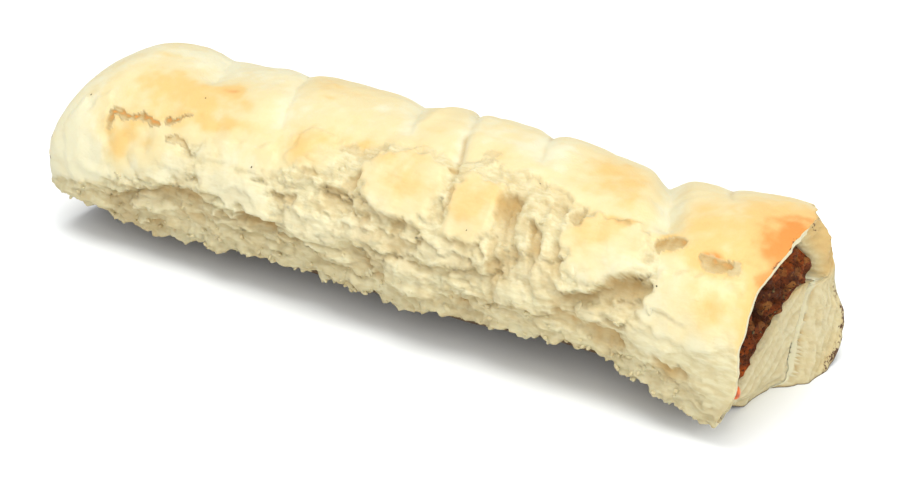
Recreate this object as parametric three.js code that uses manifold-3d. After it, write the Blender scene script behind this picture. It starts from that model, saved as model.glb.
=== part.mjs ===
// A baked sausage roll: one sheet of flaky pastry wrapped round a long sausage-meat filling.
// The roll lies along X with its open mouth at +X and its torn, layered side at -Y.
// Every place on the skin is given as x (mm along the roll) and v (mm round the skin from the
// crest, positive toward the -Y side and down it).
import * as THREE from 'three';
import { mergeVertices } from 'three/addons/utils/BufferGeometryUtils.js';
import Module from 'manifold-3d';

const wasm = await Module();
wasm.setup();

// Driving dimensions of the roll, in millimetres
const LEFT_X = -82;
const MOUTH_X = 81.5;
const WIDTH = 46;
const HEIGHT = 36.5;
const BASE_TRIM = 0.7;
const WIDEST_PART = 0.46;
const TOP_ROUNDNESS = 2.15;
const BASE_ROUNDNESS = 2.8;
const MOUTH_BASE_ROUNDNESS = 4.2;
const MOUTH_BASE_FROM = 50;

// Pastry walls and the sloping bed that the filling lies on
const WALL = 5.0;
const MOUTH_RIM = 1.1;
const MOUTH_FLARE = 12;
const LEFT_RIM = 2.2;
const LEFT_FLARE = 6;
const BED_LEVEL = 13.3;
const BED_SLOPE = 0.55;
const BED_TOP = 17.8;
const BED_ROUNDING = 1.0;

// Filling: the play left round it and how far its two ends stand back from the pastry
const FILLING_PLAY = 0.45;
const FILLING_MOUTH_X = 73;
const FILLING_LEFT_X = -76;
const FILLING_LEAD = 3.2;
const LEAD_HEIGHT = 7;
const MEAT_LUMP = 1.1;

// Seam where the sheet's outer flap closes over its inner layers
const SEAM_FLOOR_Y = 4.6;
const SEAM_REACH_Y = 10.4;
const SEAM_TOP_Z = 16.6;
const SEAM_BEND = 0.6;
const SEAM_GAP = 1.2;
const SEAM_DEPTH = 9;
const RIM_BLEND_FROM = 52;
const TONGUE_X = 76.8;
const FLAP_X = 78.4;

// Mesh density
const STATIONS = 80;
const SKIN_FROM_V = -12;
const SKIN_SPANS = [
  { to: 47, step: 1.9 },
  { to: 77, step: 4.8 },
  { to: 92, step: 2.4 },
];
const LAST_SKIN_STEP = 4.2;
const MOUTH_RINGS = 7;
const LEFT_RINGS = 3;
const HOLLOW_SIDES = 32;
const HOLLOW_STATIONS = [
  -82, -80, -78, -75, -71, -66, -52, -39, -25, -11, 3, 17, 31, 45, 59, 70, 73, 76, 78.5, 81,
];
const HOLLOW_OVERRUN = 14;
const FILLING_RINGS = 7;

// The rim of the mouth: how far along X it reaches, by the angle round the section (degrees)
const MOUTH_RIM_REACH = [
  { at: -172, reach: 81.5 },
  { at: -150, reach: 77.0 },
  { at: -128, reach: 72.8 },
  { at: -105, reach: 74.6 },
  { at: -78, reach: 75.4 },
  { at: -68, reach: 78.6 },
  { at: -61, reach: 80.7 },
  { at: -45, reach: 81.2 },
  { at: -20, reach: 80.3 },
  { at: -4, reach: 77.7 },
  { at: 30, reach: 75.0 },
  { at: 58, reach: 76.5 },
  { at: 82, reach: 81.3 },
  { at: 110, reach: 81.5 },
];

// Puffed stretches between the knife scores: middle, half length and height of each swelling
const PUFFS = [
  { x: -25, reach: 15, rise: 0.8 },
  { x: -51, reach: 11, rise: -0.8 },
  { x: 0.5, reach: 2.2, rise: 0.7 },
  { x: 10, reach: 13, rise: 1.5 },
  { x: 28, reach: 7, rise: 1.0 },
  { x: 50, reach: 12, rise: -1.0 },
  { x: 73, reach: 8, rise: 0.7 },
];

// Where the foot of the torn wall swells out or draws in
const FOOT_SWELLS = [
  { x: -43, reach: 8, rise: -0.8 },
  { x: -17, reach: 9, rise: -1.2 },
  { x: 30, reach: 15, rise: -1.3 },
  { x: 52, reach: 12, rise: -1.4 },
  { x: 72, reach: 9, rise: -0.6 },
];

// Knife scores across the top: they run aslant, so x is where each one crosses the far edge
const SCORE_SLANT = 0.45;
const SCORE_FROM_V = -12;
const SCORES = [
  { x: -57, width: 3.5, depth: 0.8, end: 6 },
  { x: -37, width: 3.2, depth: 0.7, end: 14 },
  { x: -8, width: 3.0, depth: 0.9, end: 8 },
  { x: 3.5, width: 1.4, depth: 0.9, end: 13 },
  { x: 21.8, width: 2.2, depth: 0.9, end: 4 },
  { x: 48.7, width: 3.0, depth: 2.6, end: 12 },
  { x: 61, width: 2.2, depth: 0.5, end: -2 },
];

// Smooth scraps of the top sheet that stand proud of the torn layers
const PLATES = [
  { x: -15, v: 17, length: 11, height: 9, turn: 8, lift: 0.7 },
  { x: -3.5, v: 18.5, length: 8, height: 6, turn: -10, lift: 0.5 },
  { x: 7.5, v: 18, length: 16, height: 12, turn: 0, lift: 1.0 },
  { x: 23.5, v: 19, length: 11, height: 12, turn: 4, lift: 1.0 },
  { x: 52, v: 21.5, length: 17, height: 9, turn: -8, lift: 1.1 },
  { x: 70, v: 24, length: 17, height: 9, turn: -4, lift: 0.9 },
  { x: -26, v: 27, length: 12, height: 9, turn: 10, lift: 0.8 },
  { x: -13, v: 30.5, length: 13, height: 6, turn: 12, lift: 0.9 },
  { x: -2, v: 29.5, length: 11, height: 5, turn: 4, lift: 0.7 },
  { x: 13, v: 35, length: 10, height: 6, turn: -3, lift: 0.8 },
  { x: 66, v: 31.5, length: 8, height: 5, turn: 10, lift: 0.6 },
  { x: -70, v: 27, length: 12, height: 18, turn: 0, lift: 0.4 },
];

// Lower edges of the lifted sheets, each with its drop and the length over which the drop heals
const LEDGES = [
  { points: [[-65, 38], [-57, 35], [-46, 31.5], [-38, 32], [-32, 34]], drop: 1.9, heal: 3.5 },
  { points: [[-33, 33.5], [-25, 32.5], [-17, 33.5], [-9, 35.5]], drop: 2.0, heal: 3.5 },
  { points: [[1, 31], [8, 31.5], [20, 31], [33, 29.5]], drop: 1.2, heal: 2 },
  { points: [[45, 29.5], [52, 26.5], [62, 22]], drop: 2.1, heal: 5 },
  { points: [[62, 28], [67, 27.5], [71, 29.5]], drop: 0.6, heal: 1.5 },
  { points: [[-65, 21.5], [-56, 20], [-46, 18]], drop: 0.7, heal: 1.5 },
  { points: [[-48, 22], [-44, 23], [-39, 26]], drop: 0.7, heal: 2 },
  { points: [[28, 8.5], [35, 9.5], [42, 11.5]], drop: 0.8, heal: 3 },
  { points: [[-72, 41], [-40, 38.5], [-10, 40], [20, 39], [60, 37], [76, 40]], drop: 0.9, heal: 2.5 },
];

// Hollows where a layer has broken away
const POCKETS = [
  { x: -45, v: 34, length: 11, height: 4, turn: -6, depth: 1.6 },
  { x: -25.5, v: 34, length: 6, height: 4, turn: -6, depth: 1.6 },
  { x: -8, v: 24, length: 8, height: 4.5, turn: 12, depth: 1.8 },
  { x: 2, v: 26, length: 4, height: 4, turn: 0, depth: 1.1 },
  { x: 8, v: 26, length: 3, height: 4, turn: 0, depth: 1.1 },
  { x: 1, v: 35, length: 5, height: 5, turn: 0, depth: 1.5 },
  { x: 31, v: 19.5, length: 4, height: 11, turn: -8, depth: 1.5 },
  { x: 37, v: 22, length: 3, height: 9, turn: -14, depth: 1.2 },
  { x: 44, v: 15, length: 3, height: 5, turn: 0, depth: 1.0 },
  { x: 57, v: 27, length: 11, height: 6, turn: -16, depth: 1.9 },
  { x: 47, v: 34.5, length: 4.5, height: 4, turn: 0, depth: 1.5 },
  { x: 62, v: 15, length: 6, height: 5, turn: -20, depth: 1.5 },
  { x: 73, v: 17, length: 6, height: 5, turn: 10, depth: 1.0 },
  { x: 21, v: 6, length: 3, height: 3, turn: 0, depth: 0.6 },
];

// Torn laminations low on the wall
const LAYER_PITCH = 3.9;
const LAYER_HEIGHT = 0.45;
const LAYERS_FROM_V = 30;
const LAYERS_TO_V = 45;
const CRUMBLE = 0.7;
const FLAT_FROM_V = 47.5;
const DEEPEST_TEAR = 2.2;

const PASTRY_LOOK = { color: 0xf0dcaa, roughness: 0.72, metalness: 0 };
const FILLING_LOOK = { color: 0x74401f, roughness: 0.6, metalness: 0 };

const { abs, cos, exp, floor, hypot, max, min, PI, sign, sin, sqrt } = Math;
const SECTION_HEIGHT = HEIGHT + BASE_TRIM;
const AXIS_Z = WIDEST_PART * SECTION_HEIGHT - BASE_TRIM;
const UPPER = HEIGHT - AXIS_Z;
const LOWER = AXIS_Z + BASE_TRIM;

function smooth(from, to, value) {
  const share = THREE.MathUtils.clamp((value - from) / (to - from), 0, 1);
  return share * share * (3 - 2 * share);
}

function mix(from, to, share) {
  return from + (to - from) * share;
}

function bell(value, middle, reach) {
  return exp(-(((value - middle) / reach) ** 2));
}

// Repeatable rough numbers from 0 to 1 at whole places, blended smoothly in between
function grain(i, j) {
  const raw = sin(i * 127.1 + j * 311.7) * 43758.5453;
  return raw - floor(raw);
}

function rough(x, v) {
  const i = floor(x);
  const j = floor(v);
  const a = (x - i) ** 2 * (3 - 2 * (x - i));
  const b = (v - j) ** 2 * (3 - 2 * (v - j));
  const low = mix(grain(i, j), grain(i + 1, j), a);
  const high = mix(grain(i, j + 1), grain(i + 1, j + 1), a);
  return mix(low, high, b) * 2 - 1;
}

// The smooth section: angle 0 points to +Y, a quarter turn is the crest
function sectionPoint(angle, inset = 0, rise = 1, spread = 1, base = BASE_ROUNDNESS) {
  const c = cos(angle);
  const s = sin(angle);
  const roundness = s > 0 ? TOP_ROUNDNESS : base;
  const tall = (s > 0 ? UPPER * rise : LOWER) - inset;
  const wide = (WIDTH / 2) * spread - inset;
  return {
    y: sign(c) * abs(c) ** (2 / roundness) * wide,
    z: AXIS_Z + sign(s) * abs(s) ** (2 / roundness) * tall,
  };
}

// Table that turns millimetres round the skin into section angles
function skinTable() {
  const steps = 4000;
  const angles = [];
  const lengths = [];
  let length = 0;
  let last = sectionPoint(PI / 2);
  for (let i = 0; i <= steps; i += 1) {
    const angle = PI / 2 + (2 * PI * i) / steps;
    const point = sectionPoint(angle);
    length += hypot(point.y - last.y, point.z - last.z);
    angles.push(angle);
    lengths.push(length);
    last = point;
  }
  return { angles, lengths, girth: length };
}

const SKIN = skinTable();

function angleAt(v) {
  const target = v < 0 ? v + SKIN.girth : v;
  let low = 0;
  let high = SKIN.lengths.length - 1;
  while (high - low > 1) {
    const middle = (low + high) >> 1;
    if (SKIN.lengths[middle] < target) low = middle;
    else high = middle;
  }
  const share = (target - SKIN.lengths[low]) / (SKIN.lengths[high] - SKIN.lengths[low]);
  return mix(SKIN.angles[low], SKIN.angles[high], share);
}

// The left end rounds over: its crest sinks and its sides draw in
const LEFT_ROUND_FROM = -66;
const LEFT_TOP_KEPT = 0.42;
const LEFT_SIDE_FROM = -73;
const LEFT_SIDE_KEPT = 0.84;
const LEFT_UNEVEN = 0.9;
const LEFT_DISH = 1.6;

function roundedOff(x, from, kept) {
  const share = THREE.MathUtils.clamp((from - x) / (from - LEFT_X), 0, 1);
  return kept + (1 - kept) * sqrt(1 - share * share);
}

function bodySection(x, angle, inset) {
  const rise = roundedOff(x, LEFT_ROUND_FROM, LEFT_TOP_KEPT);
  const spread = roundedOff(x, LEFT_SIDE_FROM, LEFT_SIDE_KEPT);
  const base = mix(BASE_ROUNDNESS, MOUTH_BASE_ROUNDNESS, smooth(MOUTH_BASE_FROM, MOUTH_X, x));
  return sectionPoint(angle, inset, rise, spread, base);
}

// How deep a place lies inside a turned, softly edged lozenge: 1 in the middle, 0 outside
function patch(x, v, item, softness) {
  const turn = THREE.MathUtils.degToRad(item.turn);
  const dx = x - item.x + 0.8 * rough(v * 0.3, item.x);
  const dv = v - item.v + 0.8 * rough(x * 0.3, item.v);
  const along = (dx * cos(turn) + dv * sin(turn)) / (item.length / 2);
  const across = (dv * cos(turn) - dx * sin(turn)) / (item.height / 2);
  const radius = (abs(along) ** 4 + abs(across) ** 4) ** 0.25;
  return 1 - smooth(1 - softness, 1 + softness, radius);
}

// Height of a lifted sheet's lower edge: a little lip above, a step down below
function ledge(x, v, item) {
  const points = item.points;
  const last = points.length - 1;
  if (x <= points[0][0] || x >= points[last][0]) return 0;
  let i = 0;
  while (x > points[i + 1][0]) i += 1;
  const share = (x - points[i][0]) / (points[i + 1][0] - points[i][0]);
  const edge = mix(points[i][1], points[i + 1][1], smooth(0, 1, share)) + 0.6 * rough(x * 0.45, item.drop);
  const fade = smooth(points[0][0], points[0][0] + 3, x) * (1 - smooth(points[last][0] - 3, points[last][0], x));
  const below = v - edge;
  const lip = 0.35 * item.drop * exp(-abs(below) / 3) * (1 - smooth(-0.5, 0.7, below));
  const step = -item.drop * smooth(-0.5, 0.7, below) * exp(-max(below, 0) / item.heal);
  return fade * (lip + step);
}

function crestForm(x, v) {
  let height = 0;
  for (const puff of PUFFS) height += puff.rise * bell(x, puff.x, puff.reach);
  height *= bell(v, -6, 22);
  for (const score of SCORES) {
    const path = score.x + SCORE_SLANT * (v - SCORE_FROM_V);
    const span = smooth(-34, -24, v) * (1 - smooth(score.end - 3, score.end + 2, v));
    height -= score.depth * span * bell(x, path, score.width);
  }
  return height;
}

function wallForm(x, v) {
  let height = 0;
  for (const plate of PLATES) height = max(height, plate.lift * patch(x, v, plate, 0.16));
  for (const item of LEDGES) height += ledge(x, v, item);
  for (const pocket of POCKETS) height -= pocket.depth * patch(x, v, pocket, 0.35);
  const layered = smooth(LAYERS_FROM_V, LAYERS_FROM_V + 4, v);
  const wave = sin((2 * PI * (v + 1.2 * rough(x * 0.09, 5) - 0.05 * x)) / LAYER_PITCH);
  height += layered * LAYER_HEIGHT * wave * (0.5 + 0.5 * rough(x * 0.21, v * 0.3));
  height += CRUMBLE * smooth(LAYERS_TO_V - 6, LAYERS_TO_V, v) * rough(x * 0.42, v * 0.4);
  height += 0.35 * smooth(8, 22, v) * rough(x * 0.31, v * 0.36 + 9);
  for (const swell of FOOT_SWELLS) height += swell.rise * bell(x, swell.x, swell.reach) * smooth(30, 40, v);
  return height;
}

// The hidden side is torn like the side that shows, with its tears in other places
function relief(x, v) {
  const near = smooth(2, 9, v) * wallForm(x, v);
  const far = smooth(14, 24, -v) * wallForm(4 - x, -v - 1);
  const flat = 1 - smooth(FLAT_FROM_V - 3, FLAT_FROM_V, abs(v));
  const calmRim = 1 - 0.75 * smooth(MOUTH_X - 7, MOUTH_X - 1, x);
  const calmEnd = 1 - 0.6 * smooth(LEFT_X + 9, LEFT_X + 2, x);
  const torn = max(calmRim * (near + far), -DEEPEST_TEAR);
  const swell = 0.25 * rough(x * 0.12, v * 0.11 + 3);
  return flat * calmEnd * (torn + calmRim * swell + crestForm(x, v));
}

// Degrees round the section as seen from its axis
function bearing(point) {
  return THREE.MathUtils.radToDeg(Math.atan2(point.z - AXIS_Z, point.y));
}

function mouthReach(degrees) {
  const first = MOUTH_RIM_REACH[0].at;
  const turned = first + THREE.MathUtils.euclideanModulo(degrees - first, 360);
  for (let i = 0; i < MOUTH_RIM_REACH.length; i += 1) {
    const from = MOUTH_RIM_REACH[i];
    const to = MOUTH_RIM_REACH[i + 1] ?? { at: first + 360, reach: MOUTH_RIM_REACH[0].reach };
    if (turned <= to.at) return mix(from.reach, to.reach, smooth(from.at, to.at, turned));
  }
  return MOUTH_X;
}

// Places round the skin, closer together on the side that is torn
function skinPlaces() {
  const places = [];
  const spans = [...SKIN_SPANS, { to: SKIN_FROM_V + SKIN.girth, step: LAST_SKIN_STEP }];
  let from = SKIN_FROM_V;
  for (const span of spans) {
    const count = floor((span.to - from) / span.step);
    for (let i = 0; i < count; i += 1) {
      const v = mix(from, span.to, i / count);
      places.push(v > SKIN.girth / 2 ? v - SKIN.girth : v);
    }
    from = span.to;
  }
  return places;
}

// One point of the crust: the smooth section pushed out along its own slope by the relief
function crustPoint(station, v) {
  const angle = angleAt(v);
  const degrees = bearing(sectionPoint(angle, 0, 1, 1, MOUTH_BASE_ROUNDNESS));
  const toMouth = (mouthReach(degrees) - MOUTH_X) * smooth(RIM_BLEND_FROM, MOUTH_X, station);
  const toLeft = LEFT_UNEVEN * (1 + rough(degrees * 0.04, 3)) * smooth(LEFT_SIDE_FROM, LEFT_X, station);
  const x = station + toMouth + toLeft;
  const here = bodySection(x, angle, 0);
  const next = bodySection(x, angle + 0.01, 0);
  const dy = next.y - here.y;
  const dz = next.z - here.z;
  const size = hypot(dy, dz);
  const height = relief(x, v);
  const z = here.z - (dy / size) * height;
  return new THREE.Vector3(x, here.y + (dz / size) * height, max(z, 0));
}

// Rings of points joined into one closed body, with a fan at each end
function closedBody(rings) {
  const sides = rings[0].length;
  const positions = [];
  for (const ring of rings) {
    for (const point of ring) positions.push(point.x, point.y, point.z);
  }
  const index = [];
  for (let i = 0; i + 1 < rings.length; i += 1) {
    for (let j = 0; j < sides; j += 1) {
      const a = i * sides + j;
      const b = i * sides + ((j + 1) % sides);
      index.push(a, b, a + sides, b, b + sides, a + sides);
    }
  }
  for (const [ring, first] of [[rings[0], true], [rings.at(-1), false]]) {
    const hub = positions.length / 3;
    const offset = first ? 0 : (rings.length - 1) * sides;
    const middle = ring.reduce((sum, point) => sum.add(point), new THREE.Vector3()).divideScalar(sides);
    positions.push(middle.x, middle.y, middle.z);
    for (let j = 0; j < sides; j += 1) {
      const a = offset + j;
      const b = offset + ((j + 1) % sides);
      if (first) index.push(hub, b, a);
      else index.push(hub, a, b);
    }
  }
  const geometry = new THREE.BufferGeometry();
  geometry.setAttribute('position', new THREE.Float32BufferAttribute(positions, 3));
  geometry.setIndex(index);
  return geometry;
}

function solidOf(geometry) {
  const merged = mergeVertices(geometry, 1e-4);
  return new wasm.Manifold(new wasm.Mesh({
    numProp: 3,
    vertProperties: new Float32Array(merged.attributes.position.array),
    triVerts: new Uint32Array(merged.index.array),
  }));
}

function geometryOf(solid) {
  const mesh = solid.getMesh();
  const geometry = new THREE.BufferGeometry();
  geometry.setAttribute('position', new THREE.BufferAttribute(mesh.vertProperties, 3));
  geometry.setIndex(new THREE.BufferAttribute(mesh.triVerts, 1));
  geometry.computeVertexNormals();
  return geometry;
}

function seamY(z) {
  return SEAM_FLOOR_Y + SEAM_REACH_Y * max(z / SEAM_TOP_Z, 0) ** SEAM_BEND;
}

// The cut face of the pastry at the mouth: layers under the filling stand back, the flap juts out
function mouthFaceX(point, rimX, inward) {
  const flapSide = smooth(-0.7, 0.7, point.y - seamY(point.z));
  const band = mix(rimX, TONGUE_X, smooth(0, 0.3, inward));
  const flap = mix(rimX, FLAP_X, smooth(0, 0.45, inward));
  return mix(band, flap, flapSide);
}

function capRings(edge, count, faceX) {
  const rings = [];
  const middle = { y: 0, z: AXIS_Z * 0.8 };
  for (let i = 1; i <= count; i += 1) {
    const inward = i / (count + 1);
    rings.push(edge.map((point) => {
      const y = mix(point.y, middle.y, inward);
      const z = mix(point.z, middle.z, inward);
      return new THREE.Vector3(faceX({ y, z }, point.x, inward), y, z);
    }));
  }
  return rings;
}

function crust() {
  const places = skinPlaces();
  const rings = [];
  for (let i = 0; i <= STATIONS; i += 1) {
    const station = mix(LEFT_X, MOUTH_X, i / STATIONS);
    rings.push(places.map((v) => crustPoint(station, v)));
  }
  const leftFaceX = (point, rimX, inward) => rimX + LEFT_DISH * smooth(0, 0.5, inward);
  const leftRings = capRings(rings[0], LEFT_RINGS, leftFaceX).reverse();
  const mouthRings = capRings(rings.at(-1), MOUTH_RINGS, mouthFaceX);
  return solidOf(closedBody([...leftRings, ...rings, ...mouthRings]));
}

// The hollow that holds the filling: the section set inward by the wall, over the sloping bed
function hollowRing(x, play) {
  const flare = smooth(MOUTH_X - MOUTH_FLARE, MOUTH_X - 1, x);
  const leftFlare = smooth(LEFT_X + LEFT_FLARE, LEFT_X + 1, x);
  const wall = mix(mix(WALL, MOUTH_RIM, flare), LEFT_RIM, leftFlare) + play;
  const ring = [];
  for (let i = 0; i < HOLLOW_SIDES; i += 1) {
    const point = bodySection(x, (2 * PI * (i + 0.5)) / HOLLOW_SIDES, wall);
    const bed = min(BED_LEVEL + BED_SLOPE * point.y, BED_TOP) + play;
    const over = (point.z - bed) / BED_ROUNDING;
    const z = bed + BED_ROUNDING * (over + sqrt(over * over + 1)) * 0.5;
    ring.push(new THREE.Vector3(x, point.y, min(z, max(point.z, bed + BED_ROUNDING * 0.5))));
  }
  return ring;
}

// Stations along the hollow: close together where its ends change shape
function hollowStations(leftEnd, mouthEnd) {
  const stations = [leftEnd];
  for (const x of HOLLOW_STATIONS) {
    if (x > leftEnd && x < mouthEnd) stations.push(x);
  }
  stations.push(mouthEnd);
  return stations;
}

function hollow() {
  const stations = hollowStations(LEFT_X - HOLLOW_OVERRUN, MOUTH_X + HOLLOW_OVERRUN);
  return solidOf(closedBody(stations.map((x) => hollowRing(x, 0))));
}

// Thin curved slit between the flap and the layers that it closes over
function seamSlit() {
  const steps = 8;
  const left = [];
  const right = [];
  for (let i = 0; i <= steps; i += 1) {
    const z = mix(-1, SEAM_TOP_Z + 3, i / steps);
    const half = (SEAM_GAP / 2) * mix(0.7, 1.3, i / steps);
    left.push({ y: seamY(z) - half, z });
    right.push({ y: seamY(z) + half, z });
  }
  const outline = [...left, ...right.reverse()];
  const at = (x) => outline.map((point) => new THREE.Vector3(x, point.y, point.z));
  return solidOf(closedBody([at(TONGUE_X - SEAM_DEPTH), at(MOUTH_X + 5)].map((ring) => ring.reverse())));
}

// The meat on the bed stands out to the lip, and the meat under the hood stands back
function fillingLead(point) {
  const aboveBed = point.z - BED_LEVEL - BED_SLOPE * point.y;
  return FILLING_LEAD * smooth(LEAD_HEIGHT, 0, aboveBed);
}

function filling() {
  const stations = hollowStations(FILLING_LEFT_X, FILLING_MOUTH_X);
  const rings = stations.map((x) => hollowRing(x, FILLING_PLAY));
  for (const point of rings.at(-1)) point.x += fillingLead(point);
  const face = (edge, outward) => {
    const middle = edge.reduce((sum, point) => sum.add(point), new THREE.Vector3()).divideScalar(edge.length);
    const faceRings = [];
    for (let i = 1; i <= FILLING_RINGS; i += 1) {
      const inward = (i - 0.3 * rough(i, 2)) / (FILLING_RINGS + 1);
      faceRings.push(edge.map((point) => {
        const moved = point.clone().lerp(middle, inward);
        moved.x = outward > 0 ? FILLING_MOUTH_X + fillingLead(moved) : FILLING_LEFT_X;
        const lump = rough(moved.y * 0.31, moved.z * 0.37) + 0.6 * rough(moved.y * 0.7, moved.z * 0.8);
        const swell = smooth(0, 0.4, inward) + lump * smooth(0, 0.15, inward);
        moved.x += outward * MEAT_LUMP * swell;
        return moved;
      }));
    }
    return faceRings;
  };
  const leftFace = face(rings[0], -1).reverse();
  const mouthFace = face(rings.at(-1), 1);
  return closedBody([...leftFace, ...rings, ...mouthFace]);
}

function named(name, geometry, look) {
  const mesh = new THREE.Mesh(geometry, new THREE.MeshStandardMaterial(look));
  mesh.name = name;
  return mesh;
}

const pastry = crust().subtract(hollow()).subtract(seamSlit());
const roll = new THREE.Group();
roll.name = 'sausage_roll';
roll.add(named('pastry', geometryOf(pastry), PASTRY_LOOK));
roll.add(named('filling', filling(), FILLING_LOOK));

// The origin is under the middle of the roll, on the surface it lies on
const box = new THREE.Box3().setFromObject(roll);
const middle = box.getCenter(new THREE.Vector3());
roll.position.set(-middle.x, -middle.y, -box.min.z);

export default roll;
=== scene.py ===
"""Looks of a baked sausage roll: torn flaky crust, meat filling, loose flakes, herb specks and juice.

Places on the skin are x (mm along the roll) and v (mm round the skin from the crest, positive toward
the torn side that faces the camera). Meshes are worked out in millimetres and made in metres.
"""
import logging
import math
from dataclasses import dataclass
from enum import Enum
from typing import Any, Callable, Sequence

import bmesh
import bpy
import numpy as np
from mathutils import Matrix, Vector


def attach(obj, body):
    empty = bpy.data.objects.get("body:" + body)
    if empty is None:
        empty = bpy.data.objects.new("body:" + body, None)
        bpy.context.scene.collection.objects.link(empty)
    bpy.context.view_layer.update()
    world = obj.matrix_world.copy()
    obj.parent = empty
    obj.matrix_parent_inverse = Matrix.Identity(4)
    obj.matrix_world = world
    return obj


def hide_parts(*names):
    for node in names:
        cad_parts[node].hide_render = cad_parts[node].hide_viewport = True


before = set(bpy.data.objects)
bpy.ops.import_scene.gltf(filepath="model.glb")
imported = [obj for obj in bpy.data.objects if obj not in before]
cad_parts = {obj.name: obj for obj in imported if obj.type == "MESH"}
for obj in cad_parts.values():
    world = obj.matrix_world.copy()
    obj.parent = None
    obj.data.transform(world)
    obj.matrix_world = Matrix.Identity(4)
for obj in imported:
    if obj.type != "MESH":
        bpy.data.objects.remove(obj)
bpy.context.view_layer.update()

LOG = logging.getLogger("sausage_roll")
Array = np.ndarray
Tree = bpy.types.NodeTree
Node = bpy.types.Node
Socket = bpy.types.NodeSocket
Piece = bpy.types.Object
Material = bpy.types.Material
MM = 0.001

# The roll's own axis stands this far from the middle of its box, in millimetres
AXIS_SHIFT = (0.239, 0.019, 0.0)

# Between an ellipse, at 2, and a rectangle: how square a lozenge of pastry is
LOZENGE_POWER = 2.6

# What the crust's vertices tell its material; depth and painted_shade carry painted shade, depth partly also
# the gaps' browner colour
FINISHES = ("golden", "torn", "depth", "painted_shade", "burnt")


def srgb(code: str) -> tuple[float, float, float, float]:
    """Turns an sRGB hex colour into linear values.

    Args:
        code: six hex digits, with or without a leading hash.

    Returns:
        Linear red, green and blue with an alpha of one.
    """
    digits = code.lstrip("#")
    parts = [int(digits[i : i + 2], 16) / 255 for i in (0, 2, 4)]
    linear = [p / 12.92 if p <= 0.04045 else ((p + 0.055) / 1.055) ** 2.4 for p in parts]
    return (linear[0], linear[1], linear[2], 1.0)


def smooth(start: float, end: float, value: Array) -> Array:
    """Rises smoothly from 0 to 1.

    Args:
        start: value where the rise begins.
        end: value where it is complete.
        value: the values to read.

    Returns:
        The share risen at each value.
    """
    share = np.clip((np.asarray(value, float) - start) / (end - start), 0.0, 1.0)
    return share * share * (3.0 - 2.0 * share)


def mix(start: Any, end: Any, share: Any) -> Any:
    """Blends two values by a share, which is 0 at the first and 1 at the second."""
    return start + (end - start) * share


def bell(value: Array, middle: float, reach: float) -> Array:
    """Smooth hump of height 1 at its middle that fades over its reach."""
    return np.exp(-(((value - middle) / reach) ** 2))


def grain(i: Array, j: Array) -> Array:
    """Repeatable rough numbers from 0 to 1 at whole places."""
    raw = np.sin(i * 127.1 + j * 311.7) * 43758.5453
    return raw - np.floor(raw)


def rough(x: Array, v: Array) -> Array:
    """Smoothly blended rough numbers.

    Args:
        x: first place, one unit for each new number.
        v: second place.

    Returns:
        Values from -1 to 1.
    """
    x, v = np.broadcast_arrays(np.asarray(x, float), np.asarray(v, float))
    i, j = np.floor(x), np.floor(v)
    a = (x - i) ** 2 * (3 - 2 * (x - i))
    b = (v - j) ** 2 * (3 - 2 * (v - j))
    low = mix(grain(i, j), grain(i + 1, j), a)
    high = mix(grain(i, j + 1), grain(i + 1, j + 1), a)
    return mix(low, high, b) * 2 - 1


@dataclass(frozen=True)
class Shards:
    """What each place knows of the torn scrap that it lies on."""

    number: Array
    edge: Array
    aside: Array
    below: Array


def shards(x: Array, v: Array, seed: float) -> Shards:
    """Irregular scraps, as a torn sheet breaks into.

    Args:
        x: first place in scrap widths.
        v: second place in scrap heights.
        seed: shifts the pattern.

    Returns:
        A number from 0 to 1 for each scrap, the nearness to its edge (0 on it) and the way from its middle.
    """
    x, v = np.broadcast_arrays(np.asarray(x, float), np.asarray(v, float))
    i, j = np.floor(x), np.floor(v)
    first = np.full(x.shape, 9.0)
    second = np.full(x.shape, 9.0)
    number, aside, below = (np.zeros(x.shape) for _ in range(3))
    for di in (-1, 0, 1):
        for dj in (-1, 0, 1):
            ci, cj = i + di, j + dj
            px = ci + 0.15 + 0.7 * grain(ci + seed, cj)
            pv = cj + 0.15 + 0.7 * grain(ci, cj + seed + 7)
            far = np.hypot(px - x, pv - v)
            closer = far < first
            second = np.where(closer, first, np.minimum(second, far))
            number = np.where(closer, grain(ci + seed + 3, cj + 11), number)
            aside = np.where(closer, x - px, aside)
            below = np.where(closer, v - pv, below)
            first = np.where(closer, far, first)
    return Shards(number, second - first, aside, below)


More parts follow.
